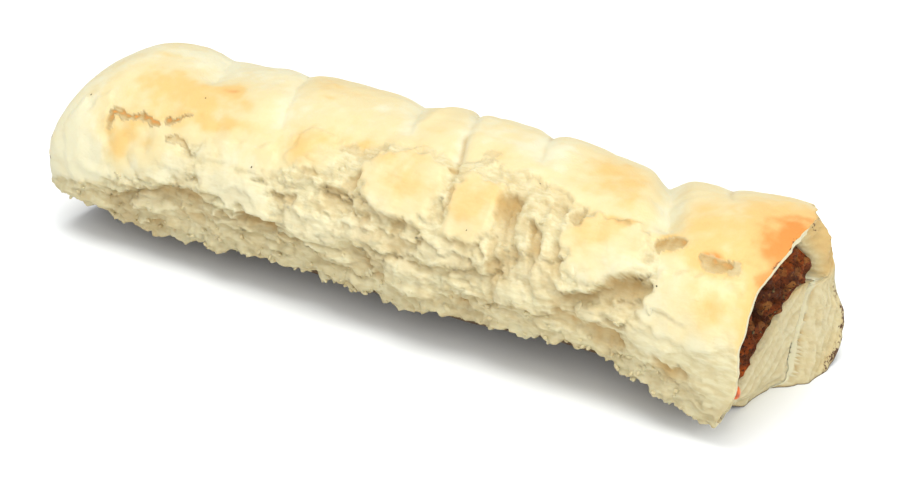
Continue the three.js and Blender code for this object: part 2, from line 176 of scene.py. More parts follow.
@dataclass(frozen=True)
class Patch:
    """A turned, softly edged lozenge on the skin: a scrap that stands proud or a hollow."""

    x: float
    v: float
    length: float
    height: float
    turn: float
    rise: float
    skin: float = 0.25
    # How strongly a hollow is painted with shade, partly its browner colour
    tone: float = 1.0

    def share(self, x: Array, v: Array, softness: float) -> Array:
        """How far inside the lozenge each place lies.

        Args:
            x: places along the roll.
            v: places round the skin.
            softness: width of the edge as a share of the lozenge's half size.

        Returns:
            1 well inside, 0 outside.
        """
        across, radius = self.reach(x, v)
        return 1 - smooth(1 - softness, 1 + softness, radius)

    def reach(self, x: Array, v: Array) -> tuple[Array, Array]:
        """Where each place lies in the lozenge.

        Args:
            x: places along the roll.
            v: places round the skin.

        Returns:
            The place across it, from -1 at its top to 1 at its foot, and its ragged radius.
        """
        turn = math.radians(self.turn)
        dx = x - self.x + 1.3 * rough(v * 0.28, self.x) + 0.6 * rough(v * 0.9, self.x + x * 0.7)
        dv = v - self.v + 1.1 * rough(x * 0.28, self.v) + 0.5 * rough(x * 0.9, self.v + v * 0.7)
        along = (dx * math.cos(turn) + dv * math.sin(turn)) / (self.length / 2)
        across = (dv * math.cos(turn) - dx * math.sin(turn)) / (self.height / 2)
        radius = (np.abs(along) ** LOZENGE_POWER + np.abs(across) ** LOZENGE_POWER) ** (1 / LOZENGE_POWER)
        radius = radius + 0.18 * rough(x * 0.5 + self.x, v * 0.55)
        return across, radius + 0.05 * rough(x * 1.3, v * 1.3 + self.v)

    def hollow(self, x: Array, v: Array) -> Array:
        """Share of the full depth: sharp under its upper edge and healing toward its foot.

        Args:
            x: places along the roll.
            v: places round the skin.

        Returns:
            1 at the deepest, 0 outside.
        """
        across, radius = self.reach(x, v)
        inside = 1 - smooth(0.86, 1.08, radius)
        return inside * (1 - 0.62 * smooth(-0.7, 1.1, across))


@dataclass(frozen=True)
class Ledge:
    """Lower edge of a lifted sheet: a few points, its drop, and the length over which the drop heals."""

    points: tuple[tuple[float, float], ...]
    drop: float
    heal: float

    def below(self, x: Array, v: Array) -> tuple[Array, Array]:
        """Distance below the edge and how much of the edge there is.

        Args:
            x: places along the roll.
            v: places round the skin.

        Returns:
            Millimetres below the edge, and the share of the full drop at that x.
        """
        edge = np.zeros(x.shape)
        for (x0, v0), (x1, v1) in zip(self.points, self.points[1:]):
            inside = (x > x0) & (x <= x1)
            edge = np.where(inside, mix(v0, v1, smooth(0, 1, (x - x0) / (x1 - x0))), edge)
        edge = edge + 0.6 * rough(x * 0.45, self.drop) + 0.45 * rough(x * 1.2, self.drop + 5)
        start, end = self.points[0][0], self.points[-1][0]
        fade = smooth(start, start + 3, x) * (1 - smooth(end - 3, end, x))
        return v - edge, fade


@dataclass(frozen=True)
class Score:
    """A knife score across the top: where it crosses the far edge, its width, depth and near end."""

    x: float
    width: float
    depth: float
    end: float


@dataclass(frozen=True)
class Blush:
    """A place where the crust browned more: its middle, reach both ways and strength."""

    x: float
    v: float
    along: float
    across: float
    strength: float


@dataclass
class SectionForm:
    """The roll's section and how it changes along its length, in millimetres."""

    left_x: float = -82.0
    mouth_x: float = 81.5
    width: float = 46.0
    height: float = 36.5
    base_trim: float = 0.7
    widest_part: float = 0.46
    top_roundness: float = 2.15
    base_roundness: float = 2.8
    mouth_base_roundness: float = 4.2
    mouth_base_from: float = 50.0
    left_round_from: float = -66.0
    left_top_kept: float = 0.42
    left_side_from: float = -73.0
    left_side_kept: float = 0.84
    left_uneven: float = 0.9
    rim_blend_from: float = 52.0
    # Wall of pastry, and the sloping bed that the filling lies on
    wall: float = 5.0
    mouth_rim: float = 1.4
    far_wall_swell: float = 2.6
    mouth_flare: float = 12.0
    left_rim: float = 2.2
    left_flare: float = 6.0
    bed_level: float = 13.3
    bed_slope: float = 0.55
    bed_top: float = 17.8
    bed_rounding: float = 1.0
    # Point inside the hollow, across from the axis and above it
    hollow_y: float = -2.0
    hollow_lift: float = 5.5
    # Reach of the mouth's rim along X by the bearing round the section, in degrees
    rim_reach: tuple[tuple[float, float], ...] = (
        (-172, 81.5), (-150, 77.0), (-128, 72.8), (-105, 74.6), (-78, 75.4), (-68, 78.6), (-61, 80.7),
        (-45, 81.2), (-20, 80.3), (-4, 77.7), (30, 75.0), (56, 77.0), (70, 80.4), (82, 82.3), (98, 82.8),
        (114, 82.9), (130, 82.2), (146, 81.5),
    )

    def __post_init__(self) -> None:
        """Works out the heights above and below the widest part, and the table of the skin's length."""
        self.axis_z = self.widest_part * (self.height + self.base_trim) - self.base_trim
        self.upper = self.height - self.axis_z
        self.lower = self.axis_z + self.base_trim
        self.angles = math.pi / 2 + np.linspace(0, 2 * math.pi, 4001)
        y, z = self.point(self.angles)
        self.lengths = np.concatenate([[0.0], np.cumsum(np.hypot(np.diff(y), np.diff(z)))])
        self.girth = float(self.lengths[-1])

    def point(self, angle: Array, inset: Any = 0.0, rise: Any = 1.0, spread: Any = 1.0,
              base: Any = None) -> tuple[Array, Array]:
        """A point of the smooth section.

        Args:
            angle: 0 points to +Y and a quarter turn is the crest.
            inset: how far inside the skin.
            rise: share of the height kept above the axis.
            spread: share of the width kept.
            base: roundness of the lower half, or None for the body's.

        Returns:
            The y and z of the point.
        """
        c, s = np.cos(angle), np.sin(angle)
        below = self.base_roundness if base is None else base
        power = 2.0 / np.where(s > 0, self.top_roundness, below)
        tall = np.where(s > 0, self.upper * rise, self.lower) - inset
        wide = self.width / 2 * spread - inset
        return np.sign(c) * np.abs(c) ** power * wide, self.axis_z + np.sign(s) * np.abs(s) ** power * tall

    def angle_at(self, v: Array) -> Array:
        """Turns places round the skin into section angles."""
        return np.interp(np.asarray(v) % self.girth, self.lengths, self.angles)

    def _rounded(self, x: Array, start: float, kept: float) -> Array:
        """Share of a size that is left as the left end rounds over."""
        share = np.clip((start - x) / (start - self.left_x), 0, 1)
        return kept + (1 - kept) * np.sqrt(1 - share * share)

    def body(self, x: Array, angle: Array, inset: Any) -> tuple[Array, Array]:
        """The section at one station.

        Args:
            x: places along the roll.
            angle: section angles.
            inset: how far inside the skin.

        Returns:
            The y and z of the points.
        """
        rise = self._rounded(x, self.left_round_from, self.left_top_kept)
        spread = self._rounded(x, self.left_side_from, self.left_side_kept)
        toward_mouth = smooth(self.mouth_base_from, self.mouth_x, x)
        base = mix(self.base_roundness, self.mouth_base_roundness, toward_mouth)
        return self.point(angle, inset, rise, spread, base)

    def bearing(self, angle: Array) -> Array:
        """Degrees round the section as seen from its axis."""
        y, z = self.point(angle, base=self.mouth_base_roundness)
        return np.degrees(np.arctan2(z - self.axis_z, y))

    def mouth_reach(self, degrees: Array) -> Array:
        """How far along X the mouth's rim reaches.

        Args:
            degrees: bearings round the section.

        Returns:
            The rim's x at each bearing.
        """
        at = [place for place, _ in self.rim_reach] + [self.rim_reach[0][0] + 360]
        reach = [value for _, value in self.rim_reach] + [self.rim_reach[0][1]]
        turned = at[0] + (degrees - at[0]) % 360
        result = np.full(degrees.shape, self.mouth_x)
        for i in range(len(at) - 1):
            inside = (turned >= at[i]) & (turned <= at[i + 1])
            result = np.where(inside, mix(reach[i], reach[i + 1], smooth(at[i], at[i + 1], turned)), result)
        return result

    def wall_at(self, x: Array) -> Array:
        """Thickness of the pastry round the filling.

        Args:
            x: stations along the roll.

        Returns:
            The wall at each station.
        """
        flare = smooth(self.mouth_x - self.mouth_flare, self.mouth_x - 1, x)
        left = 1 - smooth(self.left_x + 1, self.left_x + self.left_flare, x)
        return mix(mix(self.wall, self.mouth_rim, flare), self.left_rim, left)

    def hollow(self, x: float, play: float, rays: Array) -> tuple[Array, Array]:
        """Outline of the hollow round the filling, met by rays from its middle.

        Args:
            x: the station.
            play: how far inside the hollow's own wall.
            rays: directions of the rays, in radians.

        Returns:
            The y and z where each ray meets the outline.
        """
        angles = np.linspace(0, 2 * math.pi, 721)[:-1] + 1e-3
        # The far wall thickens toward the mouth, where the sheet folds back on itself
        far = self.far_wall_swell * smooth(66, 76, x) * np.maximum(np.cos(angles - 0.55), 0) ** 1.5
        y, z = self.body(np.full(angles.shape, x), angles, self.wall_at(np.array(x)) + far + play)
        bed = np.minimum(self.bed_level + self.bed_slope * y, self.bed_top) + play
        bed = bed + 0.5 * rough(y * 0.42, 7) + 0.3 * rough(y * 1.1, 3)
        over = (z - bed) / self.bed_rounding
        lifted = bed + self.bed_rounding * (over + np.sqrt(over * over + 1)) * 0.5
        z = np.minimum(lifted, np.maximum(z, bed + self.bed_rounding * 0.5))
        middle = self.hollow_middle(x)
        turn = np.arctan2(z - middle[1], y - middle[0])
        radius = np.hypot(y - middle[0], z - middle[1])
        order = np.argsort(turn)
        reach = np.interp(rays, turn[order], radius[order], period=2 * math.pi)
        return middle[0] + reach * np.cos(rays), middle[1] + reach * np.sin(rays)

    def hollow_middle(self, x: float) -> tuple[float, float]:
        """Point inside the hollow that its whole outline can be seen from."""
        rise = float(self._rounded(np.array(x), self.left_round_from, self.left_top_kept))
        return self.hollow_y, self.axis_z + self.hollow_lift * rise


@dataclass
class SkinRelief:
    """Everything that makes the skin uneven: puffs, scores, scraps, ledges, pockets and torn layers."""

    form: SectionForm
    puffs: tuple[tuple[float, float, float], ...] = (
        (-25, 15, 0.8), (-51, 11, -0.8), (0.5, 2.2, 0.7), (10, 13, 1.5), (28, 7, 1.0), (50, 12, -1.0),
        (73, 8, 0.7),
    )
    foot_swells: tuple[tuple[float, float, float], ...] = (
        (-43, 8, -0.8), (-17, 9, -1.2), (30, 15, -1.3), (52, 12, -1.4), (72, 9, -0.6),
    )
    score_slant: float = 0.45
    score_from_v: float = -12.0
    scores: tuple[Score, ...] = (
        Score(-57, 3.5, 0.8, 6), Score(-37, 3.2, 0.7, 14), Score(-8, 3.0, 0.9, 8), Score(4.8, 1.4, 0.9, 12),
        Score(21.8, 2.2, 0.9, 4), Score(48.7, 3.0, 2.6, 12), Score(61, 2.2, 0.5, -2),
    )
    plates: tuple[Patch, ...] = (
        Patch(-16, 16.5, 11, 9, 4, 0.5, 0.8), Patch(-31, 22, 19, 7, -6, 0.5, 0.7),
        Patch(7.5, 17.5, 17, 13, -6, 1.0, 1.0), Patch(22.8, 19, 11, 13, 2, 1.0, 1.0),
        Patch(50.5, 18.8, 17, 12, -24, 1.1, 1.0), Patch(71, 25, 18, 13, 0, 0.9, 1.0),
        Patch(-30, 28, 18, 6.5, 6, 0.7, 0.8), Patch(-50, 27.5, 16, 6, -4, 0.4, 0.8),
        Patch(-11, 30.5, 14, 6, 4, 0.9, 0.4), Patch(-1, 28.5, 10, 4, -4, 0.6, 0.3),
        Patch(12, 35, 11, 6, -3, 0.9, 0.4), Patch(20, 27.5, 13, 5, 0, 0.5, 0.4),
        Patch(64, 32, 10, 6, 10, 0.5, 0.5), Patch(-70, 27, 12, 18, 0, 0.4, 0.8),
        Patch(-53, 37, 9, 4, 10, 0.7, 0.4), Patch(35, 32, 9, 4, -6, 0.6, 0.4),
        Patch(50.5, 31.2, 7, 3.4, 0, 0.5, 0.6),
    )
    ledges: tuple[Ledge, ...] = (
        Ledge(((-66, 38.5), (-57, 35), (-52, 33), (-47, 31.3), (-41, 31), (-35, 33)), 1.8, 3.0),
        Ledge(((-34, 33.5), (-30, 33.4), (-27, 32), (-22, 32), (-18, 33.4), (-9, 34.5)), 1.7, 2.6),
        Ledge(((-3, 31.6), (5, 31), (15, 31), (20, 30.6), (26, 29.6), (35, 28.8)), 1.1, 1.8),
        Ledge(((43, 28.8), (49, 28), (53, 25.5), (58, 22.4), (62.5, 21)), 2.0, 4.5),
        Ledge(((62, 27.4), (67, 26.6), (72, 28.4)), 0.5, 1.2),
        Ledge(((27, 7.8), (33, 8.8), (38, 9.6), (43, 11.4)), 0.7, 2.4),
        Ledge(((-3, 24.6), (6, 23.8), (16, 24.4)), 0.8, 2.2),
        Ledge(((17, 25), (23, 24.6), (30, 25.6)), 0.9, 2.4),
        Ledge(((-42, 36.2), (-28, 36.8), (-16, 36)), 0.8, 1.6),
        Ledge(((-13, 37.8), (-4, 37.2), (4, 38.4)), 0.8, 1.6),
        Ledge(((17, 36.4), (29, 35.6), (38, 34.6), (49, 32.6)), 0.9, 1.8),
        Ledge(((52, 38.2), (62, 36.8), (74, 38)), 0.7, 1.6),
    )
    pockets: tuple[Patch, ...] = (
        Patch(-61, 20, 9, 1.5, -4, 0.35, tone=1.7), Patch(-55, 19.4, 6, 1.8, 0, 0.3, tone=1.6),
        Patch(-49, 17.9, 6, 1.7, -14, 0.3, tone=1.5), Patch(-63, 18.2, 3, 1.0, 0, 0.2, tone=1.2),
        Patch(-64.6, 21.4, 1.6, 3.4, -12, 0.3, tone=1.3), Patch(-46, 22.2, 7, 1.6, 16, 0.4, tone=0.9),
        Patch(-45.5, 33, 13, 4, -2, 1.4), Patch(-25, 33.6, 10, 3.4, -4, 1.4),
        Patch(-33, 34, 4, 2.2, 0, 0.7, tone=0.8), Patch(-18, 26.9, 6.5, 2.4, -20, 0.8, tone=0.8),
        Patch(-7, 23.8, 7.5, 4.8, 14, 1.5, tone=0.75), Patch(-3, 19.6, 2.6, 7, 24, 0.7, tone=0.8),
        Patch(-13.5, 21.4, 4, 1.6, 10, 0.4, tone=0.6), Patch(0.5, 26, 5, 2.4, 0, 0.7, tone=0.7),
        Patch(8, 26.2, 3.4, 3.8, 0, 0.8, tone=0.8), Patch(30.3, 19, 4.2, 12, -15, 1.5),
        Patch(32, 27.4, 3.2, 5, -10, 0.8, tone=0.7), Patch(36, 17.8, 3.4, 2.4, 0, 0.6, tone=0.7),
        Patch(37.4, 22.4, 3, 7, -14, 1.1), Patch(42.8, 23, 1.9, 9, -24, 0.8, tone=0.8),
        Patch(44, 14.8, 3, 4, -10, 0.7, tone=0.7), Patch(37.5, 13.8, 5, 2.6, 10, 0.5, tone=0.5),
        Patch(61.8, 14.4, 6, 3.6, -14, 0.4, tone=1.4), Patch(71.3, 15.8, 6.4, 3, 15, 0.3, tone=1.35),
        Patch(76, 16.4, 3.6, 2.0, 30, 0.3, tone=0.55), Patch(57.8, 25, 11, 6, -24, 1.6),
        Patch(46, 34, 5.4, 2.8, 0, 1.2), Patch(55, 35, 9, 4.4, 0, 1.3, tone=1.1),
        Patch(67.5, 36.4, 8, 3.2, 0, 0.9), Patch(1, 33.6, 7, 4.6, 40, 1.0, tone=0.8),
        Patch(4.5, 36.6, 5, 2.2, 0, 0.9), Patch(24, 37.1, 4, 2.2, 0, 0.8),
        Patch(30.6, 29.8, 3.6, 8.5, -6, 1.0, tone=0.9), Patch(-51, 42.4, 7, 2.2, 0, 0.8),
        Patch(20.2, 5, 3, 2.6, 0, 0.3, tone=0.8), Patch(52, 12.6, 3.8, 1.6, 0, 0.3, tone=0.9),
        Patch(-60, 36.4, 8, 1.8, -16, 0.8, tone=0.7), Patch(15, 12.6, 2, 1.2, -20, 0.6),
        Patch(16.6, 19, 1, 8, -6, 0.5),
    )
    # Where the smooth top skin ends and the torn layers start, as x and v
    skin_edge: tuple[tuple[float, float], ...] = (
        (-82, 38), (-66, 34), (-56, 31), (-50, 26), (-44, 22), (-37, 20), (-28, 24), (-20, 20), (-12, 14),
        (0, 10.5), (14, 9.5), (20, 7.5), (28, 8), (42, 11.5), (57, 12.5), (64, 22), (73, 24), (82, 30),
    )
    # Where the side turns under, as x and v
    foot_line: tuple[tuple[float, float], ...] = (
        (-82, 40), (-70, 42.5), (-62, 44.5), (-54, 45.6), (-45, 45), (-36, 44), (-30, 42.6), (-24, 42.2),
        (-17, 43), (-12, 42.2), (-6, 43.4), (2, 42.4), (9, 44), (15, 42.4), (26, 41.6), (36, 41), (44, 40.8),
        (51, 40.5), (57, 42), (63, 42.6), (69, 44.6), (74, 45.5), (82, 46),
    )
    blushes: tuple[Blush, ...] = (
        Blush(-57, 11, 9, 6, 0.7), Blush(-46, 12, 6, 6, 0.5), Blush(-42, 7, 3, 2.4, 1.0),
        Blush(-36, 10.5, 3.6, 2.2, 0.6), Blush(-38, 16, 8.5, 1.8, 0.8), Blush(-61, 26, 3, 4.5, 1.0),
        Blush(-65, -0.5, 2.2, 1.2, 0.7), Blush(-56, 24, 6, 3, 0.5), Blush(-22, 2, 2, 1.6, 0.5),
        Blush(-24, -4, 11, 6, 0.35), Blush(-17, 16.5, 6, 4, 0.7), Blush(-5, 13.5, 4, 2.6, 0.6),
        Blush(2, 2, 9, 6, 0.2), Blush(1, 13, 2.2, 1.6, 0.5), Blush(7, 17, 6.5, 4.6, 0.7),
        Blush(22.5, 18.5, 5, 5.5, 0.8), Blush(27.5, 15, 3, 3, 0.5), Blush(21, 5, 3, 2.5, 0.4),
        Blush(47, 1, 9, 7, 0.6), Blush(46.5, 17, 5, 4, 0.7), Blush(55, 16, 4, 3, 0.3),
        Blush(52, 12.6, 2.4, 1.1, 0.9), Blush(52, 8, 5, 3, 0.3), Blush(66, 9, 7, 5, 0.5),
        Blush(68, 0, 9, 6, 0.4), Blush(75, 24.5, 5, 4.2, 0.9), Blush(72, 16, 5, 2.6, 0.8),
        Blush(78, 7, 7, 10, 0.6), Blush(82, 8, 6, 9, 0.85), Blush(84, 10, 4, 12, 0.6),
        Blush(84, -8, 8, 14, 0.6), Blush(77, 1, 6, 8, 0.25), Blush(82, 26, 2.2, 14, 0.8),
        Blush(39, -3, 6, 6, 0.5), Blush(62, 14, 2.8, 2.6, 1.1), Blush(71, 15.4, 2.6, 2.2, 0.5),
        Blush(-57, 19.4, 9, 1.6, 0.5), Blush(-64.5, 23, 1.8, 3, 0.6), Blush(-55, -4, 13, 6, -0.45),
        Blush(-76, 10, 6, 16, -0.35), Blush(-38, -6, 4, 9, -0.3), Blush(-10, -3, 4, 7, -0.3),
        Blush(28, 0, 5, 6, -0.25), Blush(57, 4, 3, 8, -0.3), Blush(62, 20, 4, 3, -0.2),
    )
    scrap_softness: float = 0.13
    layer_pitch: float = 3.9
    layer_height: float = 0.45
    crumble: float = 0.7
    top_to_v: float = 12.0
    flat_from_v: float = 47.5
    deepest_tear: float = 2.2
    foot_tuck: float = 3.5
    foot_turn: float = 1.8

    def crest(self, x: Array, v: Array) -> tuple[Array, Array, Array]:
        """Swellings and knife scores of the top.

        Args:
            x: places along the roll.
            v: places round the skin.

        Returns:
            Their height, how much of a score each place is, and how much of its slit, which is painted as
            shade.
        """
        height = sum(rise * bell(x, middle, reach) for middle, reach, rise in self.puffs) * bell(v, -6, 22)
        scored = np.zeros(x.shape)
        slit_shade = np.zeros(x.shape)
        for score in self.scores:
            path = score.x + self.score_slant * (v - self.score_from_v) + 0.3 * rough(v * 0.35, score.x)
            span = smooth(-34, -24, v) * (1 - smooth(score.end - 3, score.end + 2, v))
            cut = span * bell(x, path, score.width)
            height = height - score.depth * cut
            slit = span * bell(x, path + 0.25, 0.55) * smooth(-1.0, 0.4, rough(v * 0.22, score.x + 3))
            height = height - 0.35 * min(1.0, score.depth) * slit
            slit_shade = np.maximum(slit_shade, slit * smooth(3.2, 1.4, score.width))
            scored = np.maximum(scored, cut * min(1.0, score.depth))
        return height, scored, slit_shade

    def scraps(self, x: Array, v: Array) -> tuple[Array, Array]:
        """Larger scraps that stand proud of the torn side.

        Args:
            x: places along the roll.
            v: places round the skin, positive down the side.

        Returns:
            Their height, and how much smooth skin they carry.
        """
        height = np.zeros(x.shape)
        plate = np.zeros(x.shape)
        for item in self.plates:
            share = item.share(x, v, self.scrap_softness)
            height = np.maximum(height, item.rise * share)
            plate = np.maximum(plate, share * item.skin)
        return height, plate

    def broken_layers(self, x: Array, v: Array, torn: Array, plate: Array,
                      height: Array) -> tuple[Array, Array]:
        """Adds scraps whose lower edges stand off the wall, long and low toward the foot.

        Args:
            x: places along the roll.
            v: places round the skin, positive down the side.
            torn: how torn each place is.
            plate: how much smooth skin each place carries.
            height: the height so far.

        Returns:
            The height with these layers, and how deep each place lies in a gap, which is painted there as
            shade.
        """
        flat = smooth(29, 37, v)
        upright = smooth(25, 30, x) * (1 - smooth(44, 49, x)) * smooth(10, 14, v) * (1 - smooth(33, 38, v))
        wx = x + 1.4 * rough(x * 0.5, v * 0.6) + 0.6 * rough(x * 1.4, v * 1.6)
        wv = v + 1.2 * rough(x * 0.4 + 40, v * 0.5) + 0.5 * rough(x * 1.3, v * 1.5 + 30)
        big = shards(wx / mix(6.4, 9.5, flat), wv / mix(4.6, 3.2, flat), 1.0)
        mid = shards(wx / mix(3.1, 4.8, flat), wv / mix(2.6, 1.8, flat), 5.0)
        calm = 1 - 0.7 * smooth(56, 68, x) * (1 - smooth(34, 44, v))
        open_layers = torn * (1 - 0.9 * plate) * calm
        levels = 0.85 * (big.number - 0.6) + 0.75 * big.below + 0.6 * (big.number - 0.5) * big.aside
        levels = levels + 0.26 * (mid.number - 0.5) + 0.32 * mid.below + 0.2 * (mid.number - 0.4) * mid.aside
        soft = 0.55 * rough(wx * 0.34, wv * 0.4 + 12) + 0.38 * rough(wx * 0.8, wv * 0.9 + 5)
        soft = soft + 0.16 * rough(wx * 1.7, wv * 1.9)
        height = height + open_layers * (levels * mix(1.0, 0.8, flat) * (1 - 0.6 * upright) + 0.75 * soft)
        ridge = rough((x - 0.28 * v) * 0.62, v * 0.12) + 0.5 * rough((x - 0.28 * v) * 1.3 + 8, v * 0.2)
        height = height + 0.75 * upright * (1 - 0.9 * plate) * ridge
        # Painted shade in the gaps between scraps and between the upright ridges, and a darker tone on a few
        # scraps
        depth = open_layers * np.clip(0.5 - big.number - 0.4 * big.below - 0.35 * soft, 0, 1) * 0.6
        depth = depth + 0.4 * open_layers * smooth(-0.1, -0.9, ridge) * upright
        return height, depth + 0.16 * open_layers * smooth(0.62, 0.82, mid.number)

    def wall(self, x: Array, v: Array) -> tuple[Array, Array, Array]:
        """Torn side of the roll.

        Args:
            x: places along the roll.
            v: places round the skin, positive down the side.

        Returns:
            Height, how torn each place is, and how deep it lies in a gap, for the shade painted there.
        """
        edge = np.interp(x, [p[0] for p in self.skin_edge], [p[1] for p in self.skin_edge])
        edge = edge + 1.2 * rough(x * 0.35, 4) + 0.6 * rough(x * 1.1, 6)
        torn = smooth(-0.5, 1.0, v - edge)
        height, plate = self.scraps(x, v)
        height, depth = self.broken_layers(x, v, torn, plate, height)
        for item in self.ledges:
            below, fade = item.below(x, v)
            lip = 0.35 * item.drop * np.exp(-np.abs(below) / 3) * (1 - smooth(-0.15, 0.25, below))
            step = -item.drop * smooth(-0.15, 0.25, below) * np.exp(-np.maximum(below, 0) / item.heal)
            height = height + fade * (lip + step)
            # Painted shade under the lifted sheet's edge
            gap = fade * smooth(-0.1, 0.2, below) * np.exp(-np.maximum(below, 0) / (0.6 * item.heal))
            depth = np.maximum(depth, gap * min(1.0, item.drop / 1.6))
            torn = np.maximum(torn, 0.7 * gap)
        for item in self.pockets:
            share = item.hollow(x, v)
            height = height - item.rise * share * (1 + 0.25 * rough(x * 1.3, v * 0.2))
            # Painted shade in the hollow, as strong as its tone
            depth = np.maximum(depth, share * item.tone * (0.85 + 0.25 * rough(x * 1.1, v * 0.3)))
            torn = np.maximum(torn, smooth(0.1, 0.5, share))
        layered = smooth(30, 34, v)
        wave = np.sin(2 * math.pi * (v + 1.2 * rough(x * 0.09, 5) - 0.05 * x) / self.layer_pitch)
        height = height + layered * self.layer_height * wave * (0.5 + 0.5 * rough(x * 0.21, v * 0.3))
        height = height + self.crumble * smooth(37, 43, v) * rough(x * 0.42, v * 0.4)
        height = height + 0.45 * smooth(37, 42, v) * rough(x * 0.9, v * 0.8)
        height = height + 0.35 * smooth(8, 22, v) * rough(x * 0.31, v * 0.36 + 9)
        for middle, reach, rise in self.foot_swells:
            height = height + rise * bell(x, middle, reach) * smooth(30, 40, v)
        return height, torn * (1 - 0.8 * plate), depth

    def tuck(self, x: Array, v: Array) -> tuple[Array, Array]:
        """The crumbled foot below its ragged lower edge.

        Args:
            x: places along the roll.
            v: places round the skin.

        Returns:
            How far it draws in, and how much each place belongs to the browned base, which is painted darker
            as contact shadow.
        """
        edge = np.interp(x, [p[0] for p in self.foot_line], [p[1] for p in self.foot_line])
        teeth = 0.8 * rough(x * 0.42, 31) + 0.7 * rough(x * 1.05, 3) + 0.4 * rough(x * 2.1, 17)
        teeth = teeth * mix(0.35, 1.0, smooth(-35, 0, x))
        turned = smooth(edge + teeth - 0.6, edge + teeth + self.foot_turn, v)
        under = smooth(edge + teeth + 0.3, edge + teeth + 2.0, v)
        deeper = 1 + 0.5 * smooth(18, 42, x) * (1 - smooth(64, 76, x))
        return self.foot_tuck * deeper * turned * (1 - smooth(56, 69, v)), under

    def browning(self, x: Array, v: Array) -> Array:
        """How much the crust browned.

        Args:
            x: places along the roll.
            v: places round the skin.

        Returns:
            About 0.4 on plain skin, and over 1 where it turned amber.
        """
        golden = 0.42 + 0.12 * rough(x * 0.09 + 7, v * 0.10) + 0.10 * rough(x * 0.3, v * 0.33 + 17)
        golden = golden + 0.06 * rough(x * 0.8, v * 0.85 + 5) - 0.30 * smooth(15, 30, v)
        broken = 0.92 + 0.16 * rough(x * 0.5 + 2, v * 0.55 + 8) + 0.08 * rough(x * 1.1, v * 1.15 + 2)
        for blush in self.blushes:
            warp_x = x + 1.3 * rough(x * 0.22, v * 0.25 + blush.x)
            warp_x = warp_x + 0.35 * rough(x * 0.7, v * 0.7 + blush.x)
            warp_v = v + 1.0 * rough(x * 0.22 + blush.v, v * 0.25)
            warp_v = warp_v + 0.35 * rough(x * 0.7 + 30, v * 0.7 + blush.v)
            across = bell(warp_x, blush.x, blush.along) * bell(warp_v, blush.v, blush.across)
            golden = golden + blush.strength * across * broken
            # The top's patches come back on the hidden side, end for end
            if blush.v < self.top_to_v:
                behind = bell(warp_x, 3 - blush.x, blush.along) * bell(-warp_v - 20, blush.v, blush.across)
                golden = golden + 0.7 * blush.strength * behind * broken
        return golden

    def read(self, x: Array, v: Array) -> dict[str, Array]:
        """Relief and finish of the skin at every place.

        Args:
            x: places along the roll.
            v: places round the skin, from minus to plus half the girth.

        Returns:
            Arrays named height, torn, depth, golden and painted_shade. Depth darkens gaps, partly their
            browner colour and partly painted shade; painted_shade paints shade low on the side and at the
            base.
        """
        near, near_torn, near_depth = self.wall(x, v)
        far, far_torn, far_depth = self.wall(4 - x, -v - 1)
        show_near = smooth(2, 9, v)
        show_far = smooth(14, 24, -v)
        flat = 1 - smooth(self.flat_from_v - 3, self.flat_from_v, np.abs(v))
        calm_rim = 1 - 0.75 * smooth(self.form.mouth_x - 7, self.form.mouth_x - 1, x)
        calm_end = 1 - 0.6 * (1 - smooth(self.form.left_x + 2, self.form.left_x + 9, x))
        torn_height = np.maximum(calm_rim * (show_near * near + show_far * far), -self.deepest_tear)
        crest, scored, slit_shade = self.crest(x, v)
        dimples = 0.10 * rough(x * 0.4, v * 0.45) * (1 - smooth(20, 30, v))
        swell = 0.25 * rough(x * 0.12, v * 0.11 + 3) + dimples
        tuck, under = self.tuck(x, v)
        under = np.maximum(under, smooth(46, 50, -v))
        height = flat * calm_end * (torn_height + calm_rim * swell + crest) - calm_rim * tuck
        torn = show_near * near_torn + show_far * far_torn
        # Painted shade in the gaps and in the scores' slits
        depth = np.maximum(show_near * near_depth + show_far * far_depth, 0.75 * slit_shade)
        golden = self.browning(x, v) * (1 - 0.8 * scored) + 0.35 * smooth(60, 66, np.abs(v))
        # Painted shade: the lower side darkens toward the foot, and the browned base under it darkens further
        # to paint the contact shadow
        painted_shade = smooth(33, 43, np.abs(v)) * (0.8 + 0.2 * rough(x * 0.25, v * 0.3 + 2)) + under
        return {"height": height, "torn": torn, "depth": depth, "golden": golden, "painted_shade": painted_shade}


def add_node(tree: Tree, kind: str, settings: dict[str, Any] | None = None,
             links: dict[str, Socket] | None = None) -> Node:
    """Adds a node with its settings and the links into it.

    Args:
        tree: the node tree.
        kind: the node's type name.
        settings: node properties, or socket values where the name is one of its inputs.
        links: input socket names or numbers, each with the socket that feeds it.

    Returns:
        The node.
    """
    node = tree.nodes.new(kind)
    for name, value in (settings or {}).items():
        if hasattr(node, name):
            setattr(node, name, value)
        else:
            node.inputs[int(name) if name.isdigit() else name].default_value = value
    for name, source in (links or {}).items():
        tree.links.new(source, node.inputs[int(name) if name.isdigit() else name])
    return node


def new_material(name: str, inputs: dict[str, Any]) -> tuple[Material, Tree, Node]:
    """Makes a material with one Principled shader.

    Args:
        name: its name.
        inputs: values of the shader's inputs.

    Returns:
        The material, its node tree and its shader, already wired to the output.
    """
    material = bpy.data.materials.new(name)
    material.use_nodes = True
    tree = material.node_tree
    tree.nodes.clear()
    shader = add_node(tree, "ShaderNodeBsdfPrincipled", inputs)
    add_node(tree, "ShaderNodeOutputMaterial", links={"Surface": shader.outputs["BSDF"]})
    return material, tree, shader


def feed(tree: Tree, target: Socket, value: Any) -> None:
    """Gives an input its value.

    Args:
        tree: the node tree.
        target: the input.
        value: a socket to link, a hex colour, or the value itself.
    """
    if isinstance(value, Socket):
        tree.links.new(value, target)
    else:
        target.default_value = srgb(value) if isinstance(value, str) else value


